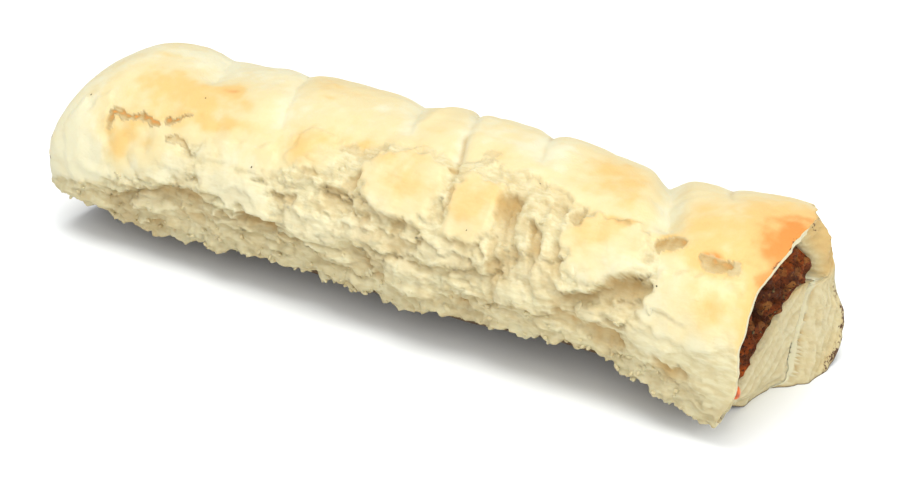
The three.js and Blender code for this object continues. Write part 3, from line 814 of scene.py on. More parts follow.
def arith(tree: Tree, operation: str, *values: Any) -> Socket:
    """Adds a math node.

    Args:
        tree: the node tree.
        operation: Blender's name of the operation.
        values: a number or a socket for each of its inputs.

    Returns:
        The result's socket.
    """
    node = add_node(tree, "ShaderNodeMath", {"operation": operation})
    for index, value in enumerate(values):
        feed(tree, node.inputs[index], value)
    return node.outputs[0]


def blend_colour(tree: Tree, share: Socket, low: Any, high: Any) -> Socket:
    """Blends two colours in a shader.

    Args:
        tree: the node tree.
        share: socket that says how much of the second colour shows.
        low: first colour, as hex digits or a socket.
        high: second colour, as hex digits or a socket.

    Returns:
        The blended colour's socket.
    """
    node = add_node(tree, "ShaderNodeMix", {"data_type": "RGBA", "clamp_factor": True}, {"0": share})
    feed(tree, node.inputs[6], low)
    feed(tree, node.inputs[7], high)
    return node.outputs[2]


def coat(tree: Tree, base: Any, coats: Sequence[tuple[Any, Any]]) -> Any:
    """Lays colours over one another.

    Args:
        tree: the node tree.
        base: the undermost colour.
        coats: for each colour above it, how much of it shows and the colour.

    Returns:
        The last colour's socket.
    """
    for share, colour in coats:
        base = blend_colour(tree, share, base, colour)
    return base


def ramp(tree: Tree, source: Any, low: float, high: float) -> Socket:
    """Stretches a value so that it runs from 0 at low to 1 at high, held in between."""
    settings = {"From Min": low, "From Max": high, "interpolation_type": "SMOOTHSTEP"}
    return add_node(tree, "ShaderNodeMapRange", settings, {"Value": source}).outputs["Result"]


def noise(tree: Tree, size_mm: float, place: Any, detail: float = 2.0) -> Node:
    """Adds soft noise with features of this size in millimetres."""
    settings = {"Scale": per_metre(size_mm), "Detail": detail}
    return add_node(tree, "ShaderNodeTexNoise", settings, {"Vector": place})


def read_attribute(tree: Tree, name: str) -> Socket:
    """Reads a number that the mesh holds for each vertex."""
    return add_node(tree, "ShaderNodeAttribute", {"attribute_name": name}).outputs["Fac"]


def object_place(tree: Tree) -> Socket:
    """Reads the place on the object, in metres."""
    return add_node(tree, "ShaderNodeTexCoord").outputs["Object"]


def spread_roughness(tree: Tree, shader: Node, value: Any, low: float, high: float) -> None:
    """Lets the shader's roughness run from low to high as a value runs from 0 to 1."""
    spread = add_node(tree, "ShaderNodeMapRange", {"To Min": low, "To Max": high}, {"Value": value})
    tree.links.new(spread.outputs["Result"], shader.inputs["Roughness"])


def emboss(tree: Tree, shader: Node, height: Any, depth_mm: float, strength: float) -> None:
    """Adds a fine bump to a shader.

    Args:
        tree: the node tree.
        shader: the shader.
        height: socket of the bump's height, from 0 to 1.
        depth_mm: millimetres that a height of 1 stands for.
        strength: how much of it is taken.
    """
    settings = {"Distance": depth_mm * MM, "Strength": strength}
    bump = add_node(tree, "ShaderNodeBump", settings, {"Height": height})
    tree.links.new(bump.outputs["Normal"], shader.inputs["Normal"])


def per_metre(size_mm: float) -> float:
    """Texture scale, in features for each metre, of a pattern with this feature size in millimetres."""
    return 1.0 / (size_mm * MM)


@dataclass(frozen=True)
class BakedPastry:
    """Puff pastry, laminated, torn and baked: matt cream layers under a lightly glazed golden skin."""

    pale: str = "#ccc6a6"
    cream: str = "#cbbc8f"
    golden: str = "#cbab6c"
    amber: str = "#c4803b"
    layer: str = "#c8c09b"
    under_layer: str = "#b9ac83"
    # Partly the browner inner layers, partly painted shade in the gaps
    gap: str = "#a38652"
    # Painted shade of the lower side and the cut face
    painted_shade_colour: str = "#938461"
    # Browned underside, darker still as painted contact shadow
    base: str = "#54412d"
    burnt: str = "#4a2a18"
    mottle_mm: float = 3.2
    grain_mm: float = 0.5
    chip_mm: float = 1.5
    warp_mm: float = 1.2
    streak_mm: float = 1.0
    skin_roughness: float = 0.5
    torn_roughness: float = 0.8

    def colour(self, tree: Tree, reads: dict[str, Any], mottle: Any, streak: Any,
               fine: Any) -> Any:
        """Colour of the pastry.

        Args:
            tree: the material's node tree.
            reads: sockets of the attributes golden, torn, depth, damp and burnt.
            mottle: socket of the soft blotches.
            streak: socket of the fine layers.
            fine: socket of the finest grain.

        Returns:
            The colour's socket.
        """
        tone = arith(tree, "ADD", reads["golden"], arith(tree, "MULTIPLY_ADD", mottle, 0.7, -0.35))
        scorched = arith(tree, "ADD", reads["burnt"], arith(tree, "MULTIPLY_ADD", fine, 1.6, -0.8))
        layers = blend_colour(tree, ramp(tree, streak, 0.35, 0.65), self.under_layer, self.layer)
        return coat(tree, self.pale, (
            (ramp(tree, tone, 0.0, 0.5), self.cream),
            (ramp(tree, tone, 0.45, 1.2), self.golden),
            (ramp(tree, tone, 1.2, 2.1), self.amber),
            (arith(tree, "MULTIPLY", reads["torn"], 0.8), layers),
            # Painted shade: the lower side and the cut face turn greyer and darker
            (arith(tree, "MULTIPLY", reads["painted_shade"], 0.42), self.painted_shade_colour),
            # The gap colour: partly the browner inner layers, partly painted shade in gaps, hollows, slits
            # and creases, warm amber in the deepest hollows
            (arith(tree, "MULTIPLY", reads["depth"], 0.9), self.gap),
            (ramp(tree, reads["depth"], 1.0, 1.7), self.amber),
            # The browned base, made darker so that it also paints the contact shadow under the foot
            (ramp(tree, reads["painted_shade"], 1.05, 1.7), self.base),
            (ramp(tree, scorched, 0.42, 0.85), self.burnt),
        ))

    def make(self) -> Material:
        """Builds the material.

        Returns:
            The pastry material, which reads the attributes golden, torn, depth, damp and burnt.
        """
        # The soft scatter gives the translucent edges of thin layers, and the torn faces stay dull
        material, tree, shader = new_material("baked_puff_pastry", {
            "IOR": 1.45, "Specular IOR Level": 0.3, "Subsurface Weight": 0.15,
            "Subsurface Radius": (1.0, 0.62, 0.30), "Subsurface Scale": 1.2 * MM,
        })
        place = object_place(tree)
        reads = {name: read_attribute(tree, name) for name in FINISHES}
        mottle = noise(tree, self.mottle_mm, place, 5.0)
        fine = noise(tree, self.grain_mm, place, 4.0).outputs["Fac"]
        stretch = add_node(tree, "ShaderNodeMapping", {"Scale": (0.35, 1.0, 1.0)},
                           {"Vector": place}).outputs[0]
        streak = noise(tree, self.streak_mm, stretch, 3.0).outputs["Fac"]
        warp = {"operation": "MULTIPLY_ADD", "1": (self.warp_mm * MM,) * 3}
        bend = add_node(tree, "ShaderNodeVectorMath", warp, {"0": mottle.outputs["Color"], "2": stretch})
        chips = add_node(tree, "ShaderNodeTexVoronoi", {"Scale": per_metre(self.chip_mm)},
                         {"Vector": bend.outputs[0]})
        skin = self.colour(tree, reads, mottle.outputs["Fac"], streak, fine)
        tree.links.new(skin, shader.inputs["Base Color"])
        spread_roughness(tree, shader, reads["torn"], self.skin_roughness, self.torn_roughness)
        level = arith(tree, "MULTIPLY_ADD", chips.outputs["Color"], 0.8, streak)
        height = arith(tree, "MULTIPLY_ADD", fine, 0.30, arith(tree, "MULTIPLY", level, reads["torn"]))
        emboss(tree, shader, height, 0.32, 0.75)
        return material


@dataclass(frozen=True)
class CookedMeat:
    """Coarse sausage meat, minced and baked: moist dark brown crumbs with paler bits of fat."""

    crumb: str = "#4f2409"
    dark: str = "#1a0903"
    pale: str = "#855526"
    orange: str = "#96450f"
    blotch_mm: float = 3.5
    crumb_mm: float = 1.3
    grain_mm: float = 0.5

    def make(self) -> Material:
        """Builds the material.

        Returns:
            The meat material, which reads the attributes hollow and stained.
        """
        # Fat and juice leave a broken wet shine over a dull crumb
        material, tree, shader = new_material("cooked_sausage_meat", {
            "Specular IOR Level": 0.12, "Subsurface Weight": 0.1,
            "Subsurface Radius": (1.0, 0.35, 0.2), "Subsurface Scale": 0.8 * MM,
        })
        place = object_place(tree)
        blotch = noise(tree, self.blotch_mm, place, 4.0).outputs["Fac"]
        fine = noise(tree, self.grain_mm, place, 5.0).outputs["Fac"]
        crumbs = add_node(tree, "ShaderNodeTexVoronoi", {"Scale": per_metre(self.crumb_mm)},
                          {"Vector": place})
        seep = arith(tree, "MULTIPLY", ramp(tree, blotch, 0.40, 0.66), read_attribute(tree, "stained"))
        tone = coat(tree, self.crumb, (
            (seep, self.orange),
            (ramp(tree, crumbs.outputs["Color"], 0.66, 0.95), self.pale),
            (ramp(tree, fine, 0.52, 0.70), self.dark),
            # Painted shade in the holes and gaps between crumbs
            (read_attribute(tree, "hollow"), self.dark),
        ))
        tree.links.new(tone, shader.inputs["Base Color"])
        spread_roughness(tree, shader, blotch, 0.32, 0.75)
        emboss(tree, shader, fine, 0.35, 0.8)
        return material


@dataclass(frozen=True)
class DriedHerb:
    """Dried herb and cracked pepper: tiny dark matt chips."""

    colour: str = "#33301a"
    edge: str = "#5d4a22"

    def make(self) -> Material:
        """Builds the material.

        Returns:
            The herb material.
        """
        # Two close dark tones keep the chips from reading as holes
        material, tree, shader = new_material("dried_herb_and_pepper", {"Roughness": 0.8})
        speckle = noise(tree, 0.6, object_place(tree)).outputs["Fac"]
        tone = blend_colour(tree, ramp(tree, speckle, 0.4, 0.6), self.colour, self.edge)
        tree.links.new(tone, shader.inputs["Base Color"])
        return material


@dataclass(frozen=True)
class MeatJuice:
    """Browned meat juice that seeped out and set: a glossy orange-brown bead."""

    colour: str = "#d0641a"
    dark: str = "#a8430f"

    def make(self) -> Material:
        """Builds the material.

        Returns:
            The juice material.
        """
        # A low roughness over soft scatter reads as a set, sticky drop
        material, tree, shader = new_material("set_meat_juice", {
            "Roughness": 0.28, "Subsurface Weight": 0.3,
            "Subsurface Radius": (1.0, 0.4, 0.15), "Subsurface Scale": 0.6 * MM,
        })
        patches = noise(tree, 1.1, object_place(tree)).outputs["Fac"]
        tone = blend_colour(tree, ramp(tree, patches, 0.4, 0.62), self.colour, self.dark)
        tree.links.new(tone, shader.inputs["Base Color"])
        return material


@dataclass(frozen=True)
class StudioPaper:
    """Seamless white background paper: a plain, very pale matt sweep."""

    colour: str = "#eef0ef"

    def make(self) -> Material:
        """Builds the material.

        Returns:
            The paper material.
        """
        # Almost white and fully matt, so that only the soft contact shadow shows on it
        return new_material("seamless_white_paper", {
            "Base Color": srgb(self.colour), "Roughness": 0.95, "Specular IOR Level": 0.1,
        })[0]


def mesh_object(name: str, points: Array, faces: Array, material: Material) -> Piece:
    """Makes a mesh object from points in the roll's own millimetres.

    Args:
        name: the piece's name.
        points: one row of x, y and z for each vertex.
        faces: rows of vertex numbers, all of one length.
        material: its finish.

    Returns:
        The linked object, with its place in its mesh.
    """
    mesh = bpy.data.meshes.new(name)
    placed = (points + np.array(AXIS_SHIFT)) * MM
    mesh.from_pydata(placed.tolist(), [], faces.tolist())
    mesh.polygons.foreach_set("use_smooth", np.ones(len(faces), bool))
    mesh.materials.append(material)
    mesh.update()
    piece = bpy.data.objects.new(name, mesh)
    bpy.context.scene.collection.objects.link(piece)
    return piece


def set_attribute(piece: Piece, name: str, values: Array) -> None:
    """Stores one number for each vertex.

    Args:
        piece: the mesh object.
        name: the attribute's name.
        values: one number for each vertex.
    """
    layer = piece.data.attributes.new(name, "FLOAT", "POINT")
    layer.data.foreach_set("value", np.asarray(values, np.float32).ravel())


def ring_faces(rings: int, sides: int, closed: bool) -> Array:
    """Quads that join rings of points.

    Args:
        rings: number of rings.
        sides: points in each ring.
        closed: whether the last ring joins the first.

    Returns:
        One row of four vertex numbers for each quad.
    """
    i = np.arange(rings if closed else rings - 1)
    j = np.arange(sides)
    a, b = np.meshgrid(i, j, indexing="ij")
    nxt = (a + 1) % rings
    side = (b + 1) % sides
    quads = np.stack([a * sides + b, a * sides + side, nxt * sides + side, nxt * sides + b], -1)
    return quads.reshape(-1, 4)


def settle(piece: Piece) -> Piece:
    """Replaces a piece's mesh by its evaluated one and drops its modifiers.

    Args:
        piece: the object with modifiers.

    Returns:
        The same object, now a plain mesh.
    """
    bpy.context.view_layer.update()
    graph = bpy.context.evaluated_depsgraph_get()
    whole = piece.evaluated_get(graph)
    mesh = bpy.data.meshes.new_from_object(whole, preserve_all_data_layers=True, depsgraph=graph)
    piece.modifiers.clear()
    piece.data = mesh
    mesh.name = piece.name
    return piece


class Spread(Enum):
    """What is scattered over a piece, with the attribute that says where it may lie."""

    FLAKES = "flake_here"
    CRUMBS = "crumb_here"
    HERBS = "herb_here"


@dataclass
class Crust:
    """The wrapped sheet of pastry: its torn skin, its mouth and the hollow round the filling."""

    form: SectionForm
    relief: SkinRelief
    stations: int = 330
    face_rings: int = 26
    inner_rings: int = 18
    seam_floor_y: float = 3.0
    seam_reach_y: float = 11.9
    seam_top_z: float = 16.6
    seam_bend: float = 0.6
    seam_gap: float = 0.6
    seam_depth: float = 9.0
    tongue_x: float = 76.8
    flap_x: float = 78.4
    left_dish: float = 1.6
    left_rings: int = 10
    hollow_from_x: float = 72.0
    hollow_left_gap: float = 6.0
    laminate_pitch: float = 2.2
    # Columns round the skin: from v, to v and step
    columns: tuple[tuple[float, float, float], ...] = (
        (-14, 47, 0.42), (47, 60, 0.95), (60, 104, 0.72), (104, 121.8, 1.2),
    )

    def places(self) -> Array:
        """Places round the skin where the mesh has its columns.

        Returns:
            The v of each column.
        """
        found: list[float] = []
        for start, end, step in self.columns:
            count = round((end - start) / step)
            found.extend(start + (end - start) * i / count for i in range(count))
        return np.array(found)

    def seam_y(self, z: Array) -> Array:
        """Where the flap's seam stands at each height."""
        return self.seam_floor_y + self.seam_reach_y * np.maximum(z / self.seam_top_z, 0) ** self.seam_bend

    def face_x(self, y: Array, z: Array, rim_x: Array, inward: Array) -> Array:
        """The mouth's cut face: layers under the filling stand back, the flap juts out.

        Args:
            y: places across the face.
            z: heights on the face.
            rim_x: where the rim is on the same ray.
            inward: share of the way from the rim to the hollow.

        Returns:
            The x of the face.
        """
        band = mix(rim_x, self.tongue_x, smooth(0, 0.35, inward))
        flap = mix(rim_x, self.flap_x, smooth(0, 0.55, inward))
        return mix(band, flap, smooth(-0.7, 0.7, y - self.seam_y(z)))

    def outer_rings(self, v: Array) -> tuple[Array, dict[str, Array]]:
        """The skin from the left end to the mouth.

        Args:
            v: places round the skin.

        Returns:
            Points by ring and column, and the relief's finish at each.
        """
        half = self.form.girth / 2
        signed = np.where(v > half, v - self.form.girth, v)
        angle = self.form.angle_at(v)
        degrees = self.form.bearing(angle)
        station = np.linspace(self.form.left_x, self.form.mouth_x, self.stations)[:, None]
        ragged = 0.3 * rough(degrees * 0.1, 3) + 0.15 * rough(degrees * 0.3, 7)
        to_mouth = (self.form.mouth_reach(degrees) + ragged)[None] - self.form.mouth_x
        to_mouth = to_mouth * smooth(self.form.rim_blend_from, self.form.mouth_x, station)
        to_left = self.form.left_uneven * (1 + rough(degrees * 0.04, 3))[None]
        to_left = to_left * (1 - smooth(self.form.left_x, self.form.left_side_from, station))
        x = station + to_mouth + to_left
        places = np.broadcast_to(signed[None], x.shape)
        finish = self.relief.read(x, places)
        turned = np.broadcast_to(angle[None], x.shape)
        y, z = self.form.body(x, turned, 0.0)
        next_y, next_z = self.form.body(x, turned + 0.01, 0.0)
        dy, dz = next_y - y, next_z - z
        size = np.hypot(dy, dz)
        y = y + dz / size * finish["height"]
        z = np.maximum(z - dy / size * finish["height"], 0.0)
        finish["place"] = places
        return np.stack([x, y, z], -1), finish

    def face(self, rim: Array, inner: Array, count: int, x_of: Callable[..., Array]) -> Array:
        """Rings across a cut face, from the rim to the hollow.

        Args:
            rim: the rim's points.
            inner: the hollow's outline on the same rays.
            count: number of rings between them, the hollow's included.
            x_of: gives x from y, z, the rim's x and the share of the way in.

        Returns:
            Points by ring and column.
        """
        share = (np.arange(1, count + 1) / count)[:, None]
        y = mix(rim[None, :, 1], inner[None, :, 0], share)
        z = mix(rim[None, :, 2], inner[None, :, 1], share)
        x = x_of(y, z, np.broadcast_to(rim[None, :, 0], y.shape), share)
        return np.stack([x, y, z], -1)

    def left_face_x(self, y: Array, z: Array, rim_x: Array, inward: Array) -> Array:
        """The left end's face: a shallow dish.

        Args:
            y: places across the face; not used.
            z: heights on the face; not used.
            rim_x: where the rim is on the same ray.
            inward: share of the way from the rim to the hollow.

        Returns:
            The x of the face.
        """
        return rim_x + self.left_dish * smooth(0, 0.5, inward)

    def laminate(self, face: Array) -> Array:
        """Splits a cut face into thin layers that follow the bed or the flap's outside.

        Args:
            face: points of the face by ring and column.

        Returns:
            How far each point stands back, in millimetres.
        """
        y, z = face[..., 1], face[..., 2]
        thick = y - self.seam_y(z)
        under = (self.form.bed_level + self.form.bed_slope * y - z) / math.hypot(1, self.form.bed_slope)
        layer = np.where(y > self.seam_y(z), thick, under) + 0.5 * rough(y * 0.35, z * 0.35)
        sheets = 2 * math.pi * layer / self.laminate_pitch + 1.5 * rough(y * 0.2, z * 0.2 + 4)
        gaps = 0.75 * (0.5 + 0.5 * np.sin(sheets)) ** 3 + 0.24 * (0.5 + 0.5 * rough(y * 1.4, layer * 1.9))
        return gaps + 0.4 * (0.5 + 0.5 * rough(y * 0.4, z * 0.4 + 9))

    def cut_mouth(self, mouth: Array, inner: Array) -> tuple[Array, Array]:
        """The mouth's cut face, laminated, folded beside the seam and with a flat lip at the hood.

        Args:
            mouth: the rim's points.
            inner: the hollow's outline on the same rays.

        Returns:
            Points by ring and column, and the depth of the gaps between layers, which also paints shade into
            them.
        """
        face = self.face(mouth, inner, self.face_rings, self.face_x)
        wide = smooth(2.0, 5.0, np.hypot(mouth[:, 1] - inner[:, 0], mouth[:, 2] - inner[:, 1]))[None]
        share = (np.arange(1, self.face_rings + 1) / self.face_rings)[:, None]
        beside = face[..., 1] - self.seam_y(face[..., 2])
        gaps = self.laminate(face) * smooth(0.4, 1.8, np.abs(beside))
        low = 1 - smooth(15.0, 19.0, face[..., 2])
        fold = 1.7 * bell(beside, 0.3, 1.3) - 0.7 * bell(beside, 4.2, 2.4) - 0.5 * bell(beside, -2.6, 1.4)
        face[..., 0] -= low * wide * smooth(0.0, 0.2, share) * fold
        thinned = 0.25 * smooth(0.6, 1.0, share) * (1 - wide)
        face[..., 0] -= wide * smooth(0.0, 0.12, share) * gaps + thinned
        held = (1 - wide) * (1 - smooth(0.55, 0.85, share))
        face[..., 0] = mix(face[..., 0], mouth[None, :, 0], held)
        return face, gaps * wide

    def cut_left(self, left: Array, inner: Array) -> Array:
        """The left end's cut face.

        Args:
            left: the rim's points.
            inner: the hollow's outline on the same rays.

        Returns:
            Points by ring and column.
        """
        face = self.face(left, inner, self.left_rings, self.left_face_x)
        share = np.arange(1, self.left_rings + 1)[:, None] / self.left_rings
        face[..., 0] += 0.5 * self.laminate(face) * smooth(0.0, 0.2, share)
        return face

    def inner_wall(self, start: Array, end: Array, rays: Array, turn: Array) -> Array:
        """Rings of the hollow between its two ends.

        Args:
            start: the columns' x at the mouth.
            end: their x at the left end.
            rays: their directions from the hollow's middle at the mouth.
            turn: how far these turn on the way to the left end.

        Returns:
            Points by ring and column.
        """
        rings = []
        count = self.inner_rings
        shares = np.linspace(0, 1, count + 1)
        for i in range(1, count):
            eased = 0.5 - 0.5 * math.cos(math.pi * (i / count))
            station = mix(self.hollow_from_x, self.form.left_x + self.hollow_left_gap, eased)
            near = mix(start, station, min(1.0, i / 4))
            far = mix(station, end, max(0.0, (i - count + 4) / 4))
            x = np.where(i < count / 2, near, far)
            y, z = self.form.hollow(float(np.median(x)), 0.0, rays + turn * shares[i])
            rings.append(np.stack([x, y, z], -1))
        return np.array(rings)

    def hollow_end(self, rim: Array, x: float, inset: float) -> tuple[Array, Array]:
        """The hollow's outline inside an end of the roll.

        Args:
            rim: points of that end's rim.
            x: where the end stands.
            inset: how far along X the outline lies from it.

        Returns:
            Directions from the hollow's middle to the rim's points, and the outline's y and z on them.
        """
        middle = self.form.hollow_middle(x)
        rays = np.arctan2(rim[:, 2] - middle[1], rim[:, 1] - middle[0])
        return rays, np.stack(self.form.hollow(x + inset, 0.0, rays), -1)

    def slit(self, material: Material) -> Piece:
        """Thin curved slab that parts the flap from the layers it closes over.

        Args:
            material: finish of the slit's walls.

        Returns:
            The cutting piece.
        """
        z = np.linspace(-1.0, self.seam_top_z + 3, 25)
        half = self.seam_gap / 2 * np.linspace(0.6, 1.5, 25) * (1 + 0.35 * rough(z * 0.6, 2))
        y = self.seam_y(z) + 0.25 * rough(z * 0.5, 8)
        left = np.stack([y - half, z], -1)
        right = np.stack([y + half, z], -1)[::-1]
        outline = np.concatenate([left, right])[::-1]
        rings = []
        for x in (self.tongue_x - self.seam_depth, self.form.mouth_x + 6):
            rings.append(np.column_stack([np.full(len(outline), x), outline]))
        points = np.concatenate(rings)
        sides = len(outline)
        piece = mesh_object("seam_slit", points, ring_faces(2, sides, False), material)
        work = bmesh.new()
        work.from_mesh(piece.data)
        bmesh.ops.holes_fill(work, edges=[e for e in work.edges if e.is_boundary])
        bmesh.ops.triangulate(work, faces=work.faces[:])
        bmesh.ops.recalc_face_normals(work, faces=work.faces[:])
        work.to_mesh(piece.data)
        work.free()
        return piece

    def build(self, material: Material) -> Piece:
        """Builds the closed crust and cuts its seam.

        Args:
            material: the pastry.

        Returns:
            The crust.
        """
        v = self.places()
        outer, finish = self.outer_rings(v)
        rays, inner = self.hollow_end(outer[-1], self.form.mouth_x, -1.0)
        left_rays, left_inner = self.hollow_end(outer[0], self.form.left_x, 1.0)
        mouth_face, gaps = self.cut_mouth(outer[-1], inner)
        left_face = self.cut_left(outer[0], left_inner)
        turn = np.angle(np.exp(1j * (left_rays - rays)))
        wall = self.inner_wall(mouth_face[-1, :, 0], left_face[-1, :, 0], rays, turn)
        rings = np.concatenate([outer, mouth_face, wall, left_face[::-1]])
        piece = mesh_object("crust", rings.reshape(-1, 3), ring_faces(len(rings), len(v), True), material)
        self.dress(piece, rings, finish, gaps)
        cutter = self.slit(material)
        modifier = piece.modifiers.new("seam", "BOOLEAN")
        modifier.object = cutter
        modifier.operation = "DIFFERENCE"
        modifier.solver = "MANIFOLD"
        settle(piece)
        bpy.data.objects.remove(cutter)
        return piece

    def on_flap(self, v: Array) -> Array:
        """How much each place round the skin belongs to the flap on the far side."""
        return smooth(-27, -40, v) * (1 - smooth(-56, -60, v))

    def scorch(self, x: Array, v: Array, rim_x: Array) -> Array:
        """Dark specks on the skin: at the flap's outer edge, the hood's rim and the left end.

        Args:
            x: places along the roll.
            v: places round the skin.
            rim_x: where the rim is at each v.

        Returns:
            How burnt each place is.
        """
        speck = smooth(0.05, 0.6, rough(x * 1.5, v * 1.4) + 0.5 * rough(x * 3.1, v * 2.9))
        burnt = smooth(1.7, 0.3, rim_x - x) * self.on_flap(v) * (0.25 + 0.75 * speck)
        crest = smooth(3, 7, v) * (1 - smooth(15, 19, v)) * smooth(0.1, 0.6, rough(x * 0.9, v * 0.9))
        burnt = burnt + 0.75 * smooth(1.1, 0.2, rim_x - x) * crest
        left_edge = smooth(self.form.left_x + 3.0, self.form.left_x + 0.8, x)
        left_edge = left_edge * smooth(24, 28, v) * (1 - smooth(34, 38, v))
        return burnt + 0.9 * left_edge * smooth(-0.2, 0.5, rough(x * 1.1 + 5, v * 0.9))

    def dress(self, piece: Piece, rings: Array, finish: dict[str, Array], gaps: Array) -> None:
        """Stores where the crust is golden, torn, deep in a gap or low on its side, both painted as shade, or
        burnt.

        Args:
            piece: the crust.
            rings: all its rings.
            finish: the relief's finish on the outer rings.
            gaps: depth of the gaps between layers on the mouth's face, painted there as shade.
        """
        outer = len(finish["height"])
        whole = {name: np.full(rings.shape[:2], 1.0 if name == "torn" else 0.0) for name in FINISHES}
        golden, torn, depth, painted_shade, burnt = whole.values()
        x, v = rings[:outer, :, 0], finish["place"]
        for name in ("golden", "torn", "depth", "painted_shade"):
            whole[name][:outer] = finish[name]
        burnt[:outer] = self.scorch(x, v, rings[outer - 1, :, 0][None])
        face = slice(outer, outer + self.face_rings)
        y, z = rings[face, :, 1], rings[face, :, 2]
        share = (np.arange(1, self.face_rings + 1) / self.face_rings)[:, None]
        rim_v = v[-1][None]
        # The flap's outer edge caught the heat, and the hood's cut edge stays pale
        flap = self.on_flap(rim_v)
        speck = smooth(-0.2, 0.5, rough(y * 1.2, z * 1.2))
        burnt[face] = smooth(0.16, 0.02, share) * flap * (0.3 + 0.7 * speck)
        hood = smooth(-30, -20, rim_v) * (1 - smooth(28, 40, rim_v))
        browned = 0.35 * smooth(0.3, 0.0, share) * flap
        golden[face] = 0.10 + browned + 0.12 * rough(y * 0.5, z * 0.5) - 0.2 * hood
        golden[face] += 0.5 * flap * smooth(9, 1, z) * smooth(0.5, 0.0, share)
        # The cut face is darkened a little by the same painted shade
        painted_shade[face] = 0.35
        # The far wall's inner side is bare, yellow-brown and speckled; its yellow is partly its own colour
        # and partly a painted glow of light shining through the thin wall
        far_wall = smooth(16, 19, z) * smooth(-4, 4, y)
        golden[face] += 1.2 * far_wall
        torn[face] = (0.75 - 0.5 * hood) * (1 - 0.8 * far_wall)
        burnt[face] += 0.9 * far_wall * smooth(23, 25, z) * smooth(0.4, 0.65, rough(y * 1.7, z * 1.7))
        # Painted shade between the cut layers, and a little of the darker gap colour on the far wall
        depth[face] = (1 - hood) * 0.35 * np.clip(gaps, 0, 1.2) + 0.3 * far_wall
        # Painted shade darkens the crease at the seam between the flap and the layers under the filling
        beside = np.abs(y - self.seam_y(z) - 0.3)
        seam = (1 - hood) * 0.85 * smooth(1.1, 0.2, beside) * smooth(19, 15, z)
        depth[face] = np.maximum(depth[face], seam)
        # The hollow's wall and the left end's face are golden, with some of the darker gap colour
        golden[outer + self.face_rings :] = 0.75
        depth[outer + self.face_rings :] = 0.2
        np.clip(burnt, 0, 1, out=burnt)
        for name, values in whole.items():
            set_attribute(piece, name, values)
        self.mark(piece, x, v, finish["torn"], len(rings))

    def mark(self, piece: Piece, x: Array, v: Array, torn: Array, total: int) -> None:
        """Stores where loose bits may lie on the crust.

        Args:
            piece: the crust.
            x: places of the outer rings along the roll.
            v: their places round the skin.
            torn: how torn each place is.
            total: number of rings.
        """
        within = smooth(self.form.left_x + 3, self.form.left_x + 8, x) * (1 - smooth(66, 74, x))
        low = np.abs(v)
        clumps = smooth(-0.35, 0.35, rough(x * 0.22, v * 0.25 + 60))
        marks = {
            Spread.FLAKES: torn * within * smooth(12, 17, low) * (1 - smooth(42, 44, low)) * clumps,
            Spread.CRUMBS: within * smooth(34, 39, low) * (1 - smooth(44, 45, low)),
            Spread.HERBS: within * (1 - smooth(30, 36, low)) * clumps,
        }
        for spread, values in marks.items():
            whole = np.zeros((total, v.shape[1]))
            whole[: len(values)] = values
            set_attribute(piece, spread.value, whole)


